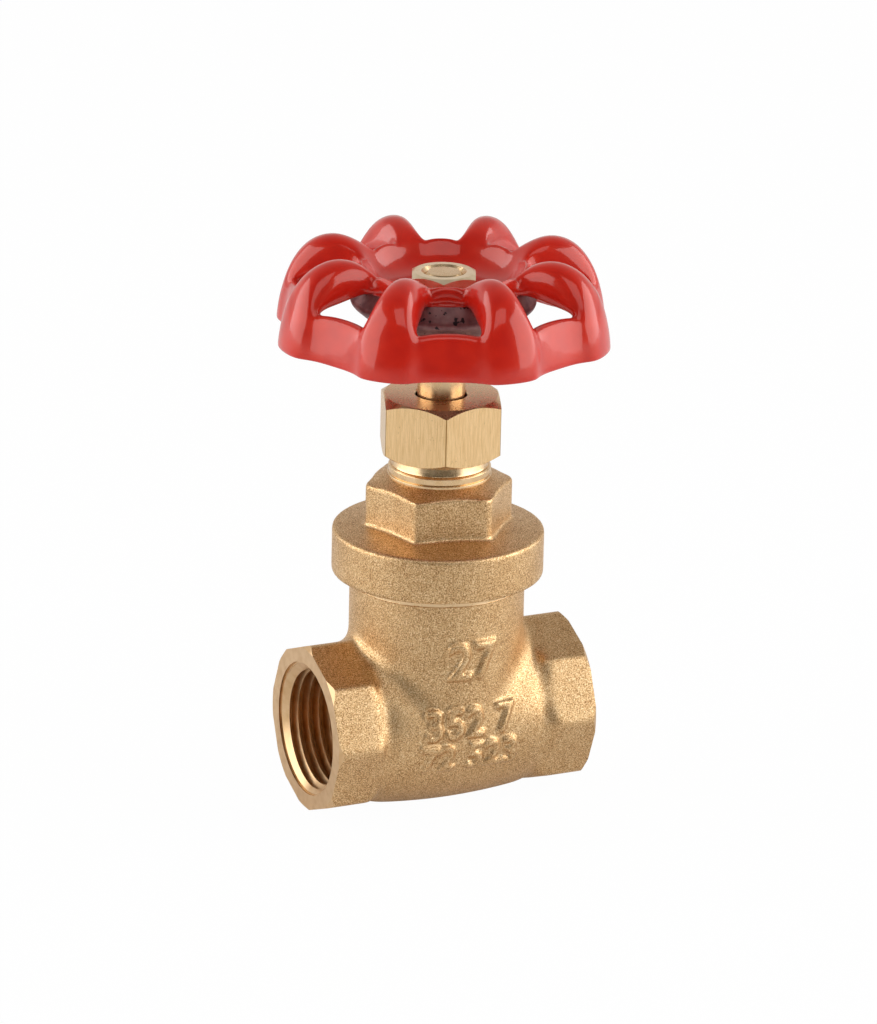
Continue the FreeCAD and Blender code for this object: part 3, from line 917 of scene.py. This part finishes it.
    def numeral(self, text: str, size: float, height: float) -> Piece:
        """A line of plain pattern numbers that stands through the front of the casting.

        Args:
            text: the digits.
            size: their height in millimetres.
            height: where their middle lies above the pipe line.

        Returns:
            The digits as one solid.
        """
        start_clean()
        bpy.ops.object.text_add()
        digits = bpy.context.object
        digits.name = f"numeral_{len(text)}"
        digits.data.body = text
        digits.data.size = size * self.type_scale * MM
        digits.data.align_x = digits.data.align_y = "CENTER"
        digits.data.offset = self.type_weight * MM
        digits.data.extrude = self.type_depth * MM
        bpy.ops.object.convert(target="MESH")
        recast(digits, grain=0.15, passes=1)
        stand_up = Matrix.Rotation(math.pi / 2, 4, "X")
        digits.data.transform(Matrix.Translation((0, -self.barrel * MM, height * MM)) @ stand_up)
        return digits

    def face_ports(self) -> None:
        """Cut both end faces flat and chamfer the corners of the octagons."""
        reach = self.stock + 1
        for sign in (-1, 1):
            face = sign * self.face
            block = rod("facing_cut", self.clear, face, face + sign * reach, Axis.PIPE)
            cut(self.body, block, self.finishes.faced)
            ring = turned("chamfer_cut", [(self.face_radius - 0.4, face + sign * 0.4),
                                          (self.face_radius + 2.6, face - sign * 2.6),
                                          (self.face_radius + 2.6, face + sign * 0.4)],
                          Axis.PIPE, closed=True)
            cut(self.body, ring, self.finishes.faced)

    def turn_neck(self) -> None:
        """Turn the top of the barrel down to the screwed neck, with a bright band under the bonnet."""
        neck = self.barrel - self.neck_step
        ring = turned("neck_cut", [(neck, self.shoulder), (self.clear, self.shoulder),
                                   (self.clear, self.top + 2), (neck, self.top + 2)], closed=True)
        cut(self.body, ring, self.finishes.turned)
        inner = self.barrel - self.band_depth
        band = turned("band_cut", [(inner, self.band_foot, 0.1), (inner + 3, self.band_foot - 0.5),
                                   (inner + 3, self.shoulder + 0.2), (inner, self.shoulder + 0.2)],
                      closed=True)
        cut(self.body, band, self.finishes.turned)
        cut(self.body, rod("top_cut", self.clear, self.top, self.top + 3), self.finishes.turned)

    def hollow_out(self) -> None:
        """Cut the gate's chamber, leaving the seat bosses and the two guide ribs, and the waterway."""
        arc = [(self.chamber * math.cos(math.radians(a)), self.chamber * math.sin(math.radians(a)))
               for a in range(-90, 1, 10)]
        hollow = turned("chamber_cut", [(0, arc[0][1])] + arc[1:] + [(self.chamber, self.top + 1),
                                                                    (0, self.top + 1)])
        for sign in (-1, 1):
            boss = rod("seat_boss", self.seat_boss, 0, sign * self.seat_end, Axis.PIPE)
            edit(boss)
            slope = math.radians(self.seat_tilt)
            normal = Vector((sign * math.cos(slope), 0, -math.sin(slope)))
            bpy.ops.mesh.bisect(plane_co=(sign * self.seat_half_gap * MM, 0, 0), plane_no=normal,
                                use_fill=True, clear_inner=True)
            close_edit()
            weld(boss)
            combine(hollow, boss, Join.CUT)
            start_clean()
            bpy.ops.mesh.primitive_cube_add(size=1)
            rib = bpy.context.object
            rib.data.transform(Matrix.Diagonal((*(size * MM for size in self.rib_size), 1)))
            aside, height = self.rib_place
            rib.data.transform(Matrix.Translation((0, sign * aside * MM, height * MM)))
            combine(hollow, rib, Join.CUT)
        cut(self.body, hollow, self.finishes.cast)
        bore = rod("waterway_cut", self.waterway, -self.waterway_half, self.waterway_half, Axis.PIPE)
        cut(self.body, bore, self.finishes.faced)

    def thread_ports(self) -> None:
        """Cut a Whitworth-form pipe thread and its chamfered mouth in each port."""
        crest = self.thread_minor
        root = self.thread_major
        flat = self.thread_flat
        flank = self.pitch / 2 - flat
        profile = [(crest, 0.0), (crest, flat), (root, flat + flank), (root, 2 * flat + flank)]
        start = self.face - self.thread_depth
        tap = screw_rod("thread_cut", profile, self.pitch, start, self.face + 1.5, Axis.PIPE)
        give(tap, self.finishes.faced)
        ledge = self.face - self.mouth_step
        mouth = turned("mouth_cut", [(0, self.face + 1), (self.mouth_radius, self.face + 1),
                                     (self.mouth_radius, ledge), (self.mouth_radius - 0.25, ledge),
                                     (crest - 0.4, ledge - 1.4), (0, ledge - 1.4)], Axis.PIPE)
        give(mouth, self.finishes.faced)
        for tool in (tap, mouth):
            combine(self.body, twin(tool, f"{tool.name}_a", math.pi), Join.CUT)
            combine(self.body, tool, Join.CUT)


@dataclass
class Bonnet:
    """The cast bonnet: flange and hexagon in one casting, with a turned collar and screwed neck."""

    finishes: Finishes
    flange: float = 16.9
    clear: float = 20.0
    flange_top: float = 31.4
    slope_top: float = 10.2
    core: float = 9.0
    hex_foot: float = 32.6
    hex_flats: float = 21.0
    hex_turn: float = -11.8
    cone_foot: float = 39.3
    cone_top: float = 40.4
    collar: float = 8.3
    collar_top: float = 42.1
    thread: float = 7.55
    skirt: float = 13.5
    ceiling: float = 29.4
    gland_floor: float = 33.0
    gland: float = 5.7
    stem_hole: float = 3.86

    def make(self) -> None:
        """Cast the blank, then turn the collar, the neck and the bores."""
        low, high = span("bonnet")
        self.foot = low.z
        self.top = high.z
        blank = turned("bonnet_casting", [
            (0, self.foot), (self.flange, self.foot, 0.35), (self.flange, self.flange_top, 0.45),
            (self.slope_top, self.hex_foot), (self.core, self.hex_foot), (self.core, self.cone_top - 1),
            (0, self.cone_top - 1)])
        hexagon = prism("bonnet_hexagon", 6, self.hex_flats, self.hex_foot - 1, self.cone_top + 1,
                        self.hex_turn, edge=0.7)
        cone = turned("bonnet_hexagon_limit", [
            (0, self.hex_foot - 2), (13.5, self.hex_foot - 2), (13.5, self.cone_foot - 0.75),
            (self.hex_flats / 2, self.cone_foot), (self.collar, self.cone_top), (0, self.cone_top)])
        combine(blank, combine(hexagon, cone, Join.KEEP), Join.ADD)
        recast(blank, grain=0.3, passes=5)
        give(blank, self.finishes.cast)
        self.turn_outside(blank)
        self.bore_out(blank)
        settle(blank, "case", "bonnet")

    def turn_outside(self, blank: Piece) -> None:
        """Face the flange's foot, and add the bright collar and the neck that the packing nut fits.

        Args:
            blank: the cast bonnet.
        """
        cut(blank, rod("foot_cut", self.clear, self.foot, self.foot - 3), self.finishes.turned)
        collar = turned("collar", [
            (0, self.cone_top - 2), (self.collar, self.cone_top - 2),
            (self.collar, self.cone_top + 0.3, 0.1), (self.collar - 0.22, self.cone_top + 0.4),
            (self.collar - 0.14, self.cone_top + 0.55, 0.06),
            (self.collar - 0.14, self.collar_top - 0.25, 0.1),
            (self.collar - 0.4, self.collar_top, 0.06), (self.thread + 0.15, self.collar_top, 0.08),
            (self.thread, self.collar_top + 0.3), (self.thread, self.top - 0.6),
            (self.thread - 0.6, self.top), (0, self.top)])
        combine(blank, give(collar, self.finishes.turned), Join.ADD)

    def bore_out(self, blank: Piece) -> None:
        """Bore the skirt that screws over the body's neck, the stem's hole and the stuffing box."""
        bore = turned("bonnet_bore", [
            (0, self.foot - 1), (self.skirt, self.foot - 1), (self.skirt, self.ceiling),
            (self.stem_hole, self.ceiling), (self.stem_hole, self.gland_floor),
            (self.gland, self.gland_floor), (self.gland, self.top + 1), (0, self.top + 1)])
        cut(blank, bore, self.finishes.turned)


# --- Bar and turned pieces ---


@dataclass
class HexNut:
    """A hexagon nut, chamfered at both ends and bored."""

    finishes: Finishes
    node_name: str
    slot: str
    body: str
    flats: float
    corner_turn: float
    chamfer_radius: float
    chamfer_slope: float
    bore: Sequence[Corner]
    edge_share: float = 0.015
    rounding: float = 0.12
    corner_spread: float = 14.0
    corner_reach: float = 0.95

    def make(self) -> None:
        """Cut the hexagon from the bar, turn both chamfers and bore it."""
        low, high = span(self.node_name)
        bottom, top = low.z, high.z
        from_bar = self.slot == "bar_brass"
        # the wheel nut takes the bright copy of turned brass, whose pale colour is a painted reflection
        flats, chamfers = ((self.finishes.bar, self.finishes.turned) if from_bar
                           else (self.finishes.bright, self.finishes.bright))
        nut = prism(f"{self.node_name}_detail", 6, self.flats, bottom - 1, top + 1, self.corner_turn,
                    edge=self.edge_share * self.flats)
        give(nut, flats)
        beyond = self.flats
        drop = (beyond - self.chamfer_radius) * math.tan(math.radians(self.chamfer_slope))
        limit = turned("nut_limit", [
            (0, bottom), (self.chamfer_radius, bottom, self.rounding), (beyond, bottom + drop),
            (beyond, top - drop), (self.chamfer_radius, top, self.rounding), (0, top)])
        combine(nut, give(limit, chamfers), Join.KEEP)
        cut(nut, turned("nut_bore", self.bore), self.finishes.turned)
        if from_bar:
            self.darken_corners(nut)
        settle(nut, self.body, self.node_name)

    def darken_corners(self, nut: Piece) -> None:
        """Paint the narrow eased corners of the bar darker: a painted dark reflection along each corner
        line.

        Args:
            nut: the finished hexagon.
        """
        # the upright corner faces get the darker copy: painted dark reflection, not a different skin
        nut.data.materials.append(self.finishes.bar_corner)
        corner = len(nut.data.materials) - 1
        across = self.flats / 2 / math.cos(math.pi / 6) * MM
        for face in nut.data.polygons:
            turn = math.degrees(math.atan2(face.normal.y, face.normal.x)) - self.corner_turn
            at_corner = abs((turn + 30) % 60 - 30) < self.corner_spread
            upright = abs(face.normal.z) < 0.1
            if upright and at_corner and face.center.to_2d().length > self.corner_reach * across:
                face.material_index = corner


@dataclass
class Stem:
    """The turned stem: left-hand thread, thrust collar, shaft, square and the stud for the wheel nut."""

    finishes: Finishes
    shaft: float = 3.8
    thread: float = 3.75
    thread_root: float = 2.9
    # where the root and the crest start and end within one turn
    thread_places: Tuple[float, ...] = (0.0, 0.5, 0.9, 1.5)
    lead: float = 2.0
    thread_top: float = 28.5
    collar: float = 5.6
    collar_bottom: float = 33.1
    collar_top: float = 35.4
    square: float = 6.2
    square_clear: float = 6.0
    stud: float = 2.95
    stud_chamfer: float = 0.4

    def make(self) -> None:
        """Turn the shaft, then join the thread and mill the square."""
        low, high = span("stem")
        square_foot = span("handwheel")[0].z + 0.1
        square_top = span("wheel_nut")[0].z
        stem = turned("stem_detail", [
            (0, self.thread_top - 1), (self.thread_root, self.thread_top - 1),
            (self.thread_root, self.thread_top), (self.shaft, self.thread_top + 0.7),
            (self.shaft, self.collar_bottom),
            (self.collar, self.collar_bottom, 0.1), (self.collar, self.collar_top, 0.1),
            (self.shaft, self.collar_top), (self.shaft, square_top), (self.stud, square_top),
            (self.stud, high.z - self.stud_chamfer), (self.stud - self.stud_chamfer, high.z, 0.08),
            (0, high.z)])
        depths = (self.thread_root, self.thread_root, self.thread, self.thread)
        profile = list(zip(depths, self.thread_places))
        thread = screw_rod("stem_thread", profile, self.lead, low.z, self.thread_top - 0.5, Axis.STEM,
                           left_hand=True, steps=64)
        combine(stem, thread, Join.ADD)
        outside = rod("square_cut", self.square_clear, square_foot, square_top)
        core = prism("square_core", 4, self.square, square_foot - 1, square_top + 1, SQUARE_CORNER)
        combine(stem, combine(outside, core, Join.CUT), Join.CUT)
        give(stem, self.finishes.turned)
        settle(stem, "stem_wheel", "stem")


# --- Handwheel ---


@dataclass(frozen=True)
class Station:
    """One row of the wheel's sheet, from the rim's foot over the crest to the hub.

    Places are (radius, height above the wheel's foot) in millimetres: at a lobe's middle, at a window's
    side and in a valley's middle. A row without a valley place ends at the windows.
    """

    lobe: Tuple[float, float]
    side: Tuple[float, float]
    valley: Optional[Tuple[float, float]] = None


@dataclass
class Handwheel:
    """The eight-lobed enamelled wheel: a wavy shell with eight finger windows on a bare conical web."""

    finishes: Finishes
    lobes: int = 8
    columns: int = 16
    side_column: int = 4
    # how far each column has gone from the lobe's place to the side's, and from there to the valley's
    lobe_fall: Tuple[float, ...] = (0.0, 0.025, 0.11, 0.34, 1.0)
    valley_fall: Tuple[float, ...] = (0.0, 0.55, 0.84, 0.97, 1.0)
    wall: float = 2.1
    ring: float = 13.3
    web_top: float = 72.4
    hub: float = 5.2
    square: float = 6.3
    hub_hole: float = 3.85
    stations: Tuple[Station, ...] = (
        Station((27.36, -0.45), (25.9, -0.45), (24.95, -0.45)),
        Station((27.46, 0.2), (25.95, 0.2), (25.0, 0.2)),
        Station((27.1, 3.2), (25.5, 3.1), (24.5, 3.1)),
        Station((26.4, 5.8), (25.1, 5.4), (24.05, 5.4)),
        Station((25.6, 8.4), (24.3, 7.0), (23.75, 7.25)),
        Station((24.3, 10.9), (22.0, 7.5)),
        Station((22.0, 13.1), (19.9, 7.6)),
        Station((18.7, 14.15), (17.5, 8.0)),
        Station((15.7, 13.5), (14.9, 8.7), (13.6, 8.4)),
        Station((14.0, 12.5), (13.75, 11.0), (13.55, 11.3)),
        Station((12.7, 11.2), (12.6, 11.3), (12.75, 11.75)),
        Station((11.7, 9.4), (11.7, 9.4), (11.9, 9.7)),
        Station((10.3, 7.9), (10.3, 7.9), (10.3, 7.9)),
        Station((7.8, 7.1), (7.8, 7.1), (7.8, 7.1)),
        Station((2.2, 6.8), (2.2, 6.8), (2.2, 6.8)),
    )

    def make(self) -> None:
        """Form the shell, join the web and hub, and bore the hub."""
        low, _ = span("handwheel")
        self.low = low.z
        wheel = self.shell()
        web = turned("wheel_web", [
            (0, self.low + 0.05), (self.hub + 1.6, self.low + 0.05, 0.4), (11.6, self.low + 2.4, 2.0),
            (15.0, self.low + 5.3, 1.2), (self.ring, self.web_top, 0.2),
            (self.ring - 0.6, self.web_top + 0.5), (8.6, self.low + 6.3), (0, self.low + 5.6)])
        combine(wheel, give(web, self.finishes.bare), Join.ADD)
        hole = prism("hub_hole", 4, self.square, self.low - 1, self.web_top + 3, SQUARE_CORNER)
        limit = rod("hub_hole_limit", self.hub_hole, self.low - 2, self.web_top + 4)
        cut(wheel, combine(hole, limit, Join.KEEP), self.finishes.turned)
        settle(wheel, "stem_wheel", "handwheel")

    def shell(self) -> Piece:
        """Spin the rows into a sheet, open the windows, shape the lobes and valleys and give it a wall.

        Returns:
            The enamelled shell, open at the bottom and at the windows.
        """
        outline = [(station.lobe[0], self.low + station.lobe[1]) for station in self.stations]
        sheet = wire("handwheel_detail", outline, Axis.STEM)
        edit(sheet)
        bpy.ops.mesh.spin(steps=self.lobes * self.columns, angle=FULL_TURN, center=(0, 0, 0),
                          axis=(0, 0, 1))
        close_edit()
        weld(sheet)
        self.open_windows(sheet, self.sort_points(sheet, outline))
        for (row, column), points in self.sort_points(sheet, outline).items():
            self.shape(sheet, points, self.stations[row], column)
        weld(sheet)
        apply_modifier(sheet, "SOLIDIFY", thickness=self.wall * MM, offset=-1.0, use_even_offset=True)
        apply_modifier(sheet, "SUBSURF", levels=2, render_levels=2)
        weld(sheet)
        return give(sheet, self.finishes.enamel)

    def sort_points(self, sheet: Piece, outline: Sequence[Corner]) -> Dict[Tuple[int, int], List[int]]:
        """Group the points of the plain spun sheet by row and by column counted from the nearest lobe.

        Args:
            sheet: the spun sheet.
            outline: the rows that it was spun from.

        Returns:
            The numbers of the points in each (row, column).
        """
        groups: Dict[Tuple[int, int], List[int]] = {}
        for point in sheet.data.vertices:
            radius = Vector(point.co[:2]).length / MM
            height = point.co.z / MM
            row = min(range(len(outline)),
                      key=lambda n: abs(outline[n][0] - radius) + abs(outline[n][1] - height))
            turn = math.atan2(point.co.y, point.co.x) / FULL_TURN * self.lobes
            column = round(abs(turn - round(turn)) * self.columns)
            groups.setdefault((row, column), []).append(point.index)
        return groups

    def open_windows(self, sheet: Piece, places: Dict[Tuple[int, int], List[int]]) -> None:
        """Delete the faces between the sill and the ring in each valley.

        Args:
            sheet: the plain spun sheet.
            places: its points by row and column.
        """
        where = {index: place for place, points in places.items() for index in points}
        missing = [row for row, station in enumerate(self.stations) if station.valley is None]

        def in_window(face: bpy.types.MeshPolygon) -> bool:
            """Tell the faces of the windows from the others.

            Args:
                face: a face of the plain sheet.

            Returns:
                Whether it lies between the sill and the ring, beside the lobes.
            """
            corners = [where[index] for index in face.vertices]
            beside = min(column for _, column in corners) >= self.side_column
            return beside and any(row in missing for row, _ in corners)

        choose(sheet, "FACE", in_window)
        bpy.ops.mesh.delete(type="FACE")
        bpy.ops.mesh.select_mode(type="VERT")
        close_edit()

    def shape(self, sheet: Piece, points: Sequence[int], station: Station, column: int) -> None:
        """Move the points of one row and column from the plain turned shape to the lobed one.

        Args:
            sheet: the spun sheet.
            points: the numbers of the points.
            station: the row's places.
            column: how many columns they lie from a lobe's middle.
        """
        if column <= self.side_column:
            share = self.lobe_fall[column]
            start, end = station.lobe, station.side
        else:
            share = self.valley_fall[column - self.side_column]
            start, end = station.side, station.valley or station.side
        radius = start[0] + (end[0] - start[0]) * share
        height = start[1] + (end[1] - start[1]) * share
        factor = radius / station.lobe[0]
        chosen = set(points)
        choose(sheet, "VERT", lambda point: point.index in chosen)
        bpy.ops.transform.resize(value=(factor, factor, 1), center_override=(0, 0, 0))
        bpy.ops.transform.translate(value=(0, 0, (height - station.lobe[1]) * MM))
        close_edit()


# --- Pieces kept from the frame ---


@dataclass
class Inside:
    """The pieces that the castings hide, kept as they are with their real finishes."""

    finishes: Finishes

    def dress(self) -> None:
        """Give each kept node its material."""
        for names, finish in (
            (("gate_wedge", "gland_washer", "gland_follower"), self.finishes.turned),
            (("bonnet_gasket",), self.finishes.gasket),
            (("packing_ring_lower", "packing_ring_middle", "packing_ring_upper"), self.finishes.packing),
        ):
            for name in names:
                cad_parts[name].material_slots[0].material = finish
                LOG.info("%s keeps its shape", name)


# --- Studio ---


@dataclass
class Lamp:
    """One soft box."""

    name: str
    azimuth: float
    elevation: float
    distance: float
    width: float
    height: float
    power: float
    colour: str = "FCFDFF"

    def hang(self, aim: Vector) -> None:
        """Place the lamp and turn it to the object.

        Args:
            aim: the point that it lights, in metres.
        """
        turn, lift = math.radians(self.azimuth), math.radians(self.elevation)
        offset = Vector((math.sin(turn) * math.cos(lift), -math.cos(turn) * math.cos(lift),
                         math.sin(lift)))
        data = bpy.data.lights.new(self.name, "AREA")
        data.shape = "RECTANGLE"
        data.size = self.width
        data.size_y = self.height
        data.energy = self.power
        data.color = shade(self.colour)[:3]
        lamp = bpy.data.objects.new(self.name, data)
        lamp.location = aim + offset * self.distance
        lamp.rotation_euler = offset.to_track_quat("Z", "Y").to_euler()
        bpy.context.scene.collection.objects.link(lamp)


@dataclass
class Studio:
    """White sweep, soft boxes and the camera."""

    azimuth: float = -25.0
    elevation: float = 19.3
    roll: float = 1.3
    distance: float = 1.044
    aim_height: float = 33.75
    lens: float = 230.8
    sensor: float = 36.0
    floor_size: float = 8.0
    floor_gap: float = 0.05
    white_share: float = 0.98
    gloss_share: float = 0.14

    def set_up(self) -> None:
        """Build the floor, the lights and the camera."""
        scene = bpy.context.scene
        scene.view_settings.view_transform = "Standard"
        aim = Vector((0, 0, self.aim_height * MM))
        self.lay_floor()
        self.light_world()
        for lamp in (
            Lamp("soft_box_left", -108, 18, 1.0, 1.4, 0.9, 9.8),
            Lamp("soft_box_right", 61, 18, 1.0, 1.3, 0.9, 10.4),
            Lamp("soft_box_top", -14, 50, 0.9, 0.7, 0.4, 1.3),
        ):
            lamp.hang(aim)
        self.mount_camera(aim)

    def lay_floor(self) -> None:
        """A large floor of matt white paper just under the ports: an even ground with a soft shadow."""
        low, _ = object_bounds()
        start_clean()
        bpy.ops.mesh.primitive_plane_add(size=self.floor_size,
                                         location=(0, 0, low.z - self.floor_gap * MM))
        floor = bpy.context.object
        floor.name = "studio_floor"
        floor.data.transform(Matrix.Translation(floor.location))
        floor.location = (0, 0, 0)
        tree, shader, _, material = blank_material("white_paper_sweep")
        feed(tree, shader, {"Base Color": shade("F4F4F4"), "Roughness": 0.8})
        paths = node(tree, "LightPath")
        clear = node(tree, "Math", {0: paths.outputs["Is Camera Ray"],
                                    1: paths.outputs["Is Transmission Ray"]}, operation="MAXIMUM")
        gloss = node(tree, "Math", {0: paths.outputs["Is Glossy Ray"], 1: self.gloss_share},
                     operation="MULTIPLY")
        seen = node(tree, "Math", {0: clear.outputs[0], 1: self.white_share, 2: gloss.outputs[0]},
                    operation="MULTIPLY_ADD")
        glow = node(tree, "Emission", {"Color": (1, 1, 1, 1), "Strength": 1.0})
        mixed = node(tree, "MixShader", {0: seen.outputs[0], 1: shader.outputs[0], 2: glow.outputs[0]})
        tree.links.new(mixed.outputs[0], tree.nodes["Material Output"].inputs["Surface"])
        give(floor, material)
        floor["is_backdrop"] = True

    def light_world(self) -> None:
        """A plain pale world, white to the camera."""
        world = bpy.data.worlds.new("studio_world")
        bpy.context.scene.world = world
        world.use_nodes = True
        tree = world.node_tree
        tree.nodes.clear()
        paths = node(tree, "LightPath")
        sky = node(tree, "TexCoord")
        ahead = node(tree, "Mapping", {"Vector": sky.outputs["Generated"],
                                       "Rotation": (0, 0, math.radians(-self.azimuth))})
        way = node(tree, "SeparateXYZ", {0: ahead.outputs[0]})
        depth = node(tree, "MapRange", {"Value": way.outputs["Y"], "From Min": -1.0, "From Max": 1.0})
        round_tone = tones(tree, depth.outputs[0], [(0.0, "5A5A5A"), (0.35, "747474"), (1.0, "F8F8F8")])
        high_tone = tones(tree, way.outputs["Z"], [(0.2, "F4F0EC"), (0.42, "D4D0CC"), (0.6, "E0DAD4")])
        tone = node(tree, "Mix", {0: 1.0, 6: round_tone, 7: high_tone}, data_type="RGBA",
                    blend_type="MULTIPLY").outputs[2]
        soft = node(tree, "Background", {"Color": tone, "Strength": 1.0})
        white = node(tree, "Background", {"Color": (1, 1, 1, 1), "Strength": 1.0})
        mixed = node(tree, "MixShader", {0: paths.outputs["Is Camera Ray"], 1: soft.outputs[0],
                                         2: white.outputs[0]})
        output = node(tree, "OutputWorld")
        tree.links.new(mixed.outputs[0], output.inputs["Surface"])

    def mount_camera(self, aim: Vector) -> None:
        """Set the long-lens camera, rolled a little.

        Args:
            aim: the point in the middle of the picture, in metres.
        """
        turn, lift, roll = (math.radians(angle) for angle in (self.azimuth, self.elevation, self.roll))
        forward = Vector((-math.sin(turn) * math.cos(lift), math.cos(turn) * math.cos(lift),
                          -math.sin(lift)))
        right = Vector((math.cos(turn), math.sin(turn), 0))
        up = right.cross(forward)
        across = right * math.cos(roll) + up * math.sin(roll)
        above = up * math.cos(roll) - right * math.sin(roll)
        data = bpy.data.cameras.new("camera")
        data.lens = self.lens
        data.sensor_width = self.sensor
        data.clip_start = 0.05
        camera = bpy.data.objects.new("camera", data)
        camera.matrix_world = Matrix((
            (across.x, above.x, -forward.x, aim.x - forward.x * self.distance),
            (across.y, above.y, -forward.y, aim.y - forward.y * self.distance),
            (across.z, above.z, -forward.z, aim.z - forward.z * self.distance),
            (0, 0, 0, 1)))
        bpy.context.scene.collection.objects.link(camera)
        bpy.context.scene.camera = camera


def main() -> None:
    """Build every piece in order, then the studio."""
    logging.basicConfig(level=logging.INFO, format="%(message)s")
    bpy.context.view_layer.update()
    finishes = Finishes.mix()
    ValveBody(finishes).make()
    Bonnet(finishes).make()
    HexNut(finishes, "packing_nut", "bar_brass", "case", flats=18.3, corner_turn=10.2,
           chamfer_radius=9.0, chamfer_slope=35.0,
           bore=[(0, 42.0), (7.6, 42.0), (7.6, 51.2), (4.1, 51.2), (4.1, 53.5), (4.4, 53.8), (4.4, 55),
                 (0, 55)]).make()
    Stem(finishes).make()
    Handwheel(finishes).make()
    HexNut(finishes, "wheel_nut", "machined_brass", "stem_wheel", flats=10.0, corner_turn=-115.0,
           chamfer_radius=4.7, chamfer_slope=30.0,
           bore=[(0, 69.5), (3.0, 69.5), (3.0, 73.3), (3.6, 73.95), (3.6, 75), (0, 75)]).make()
    Inside(finishes).dress()
    Studio().set_up()


if __name__ == "__main__":
    main()
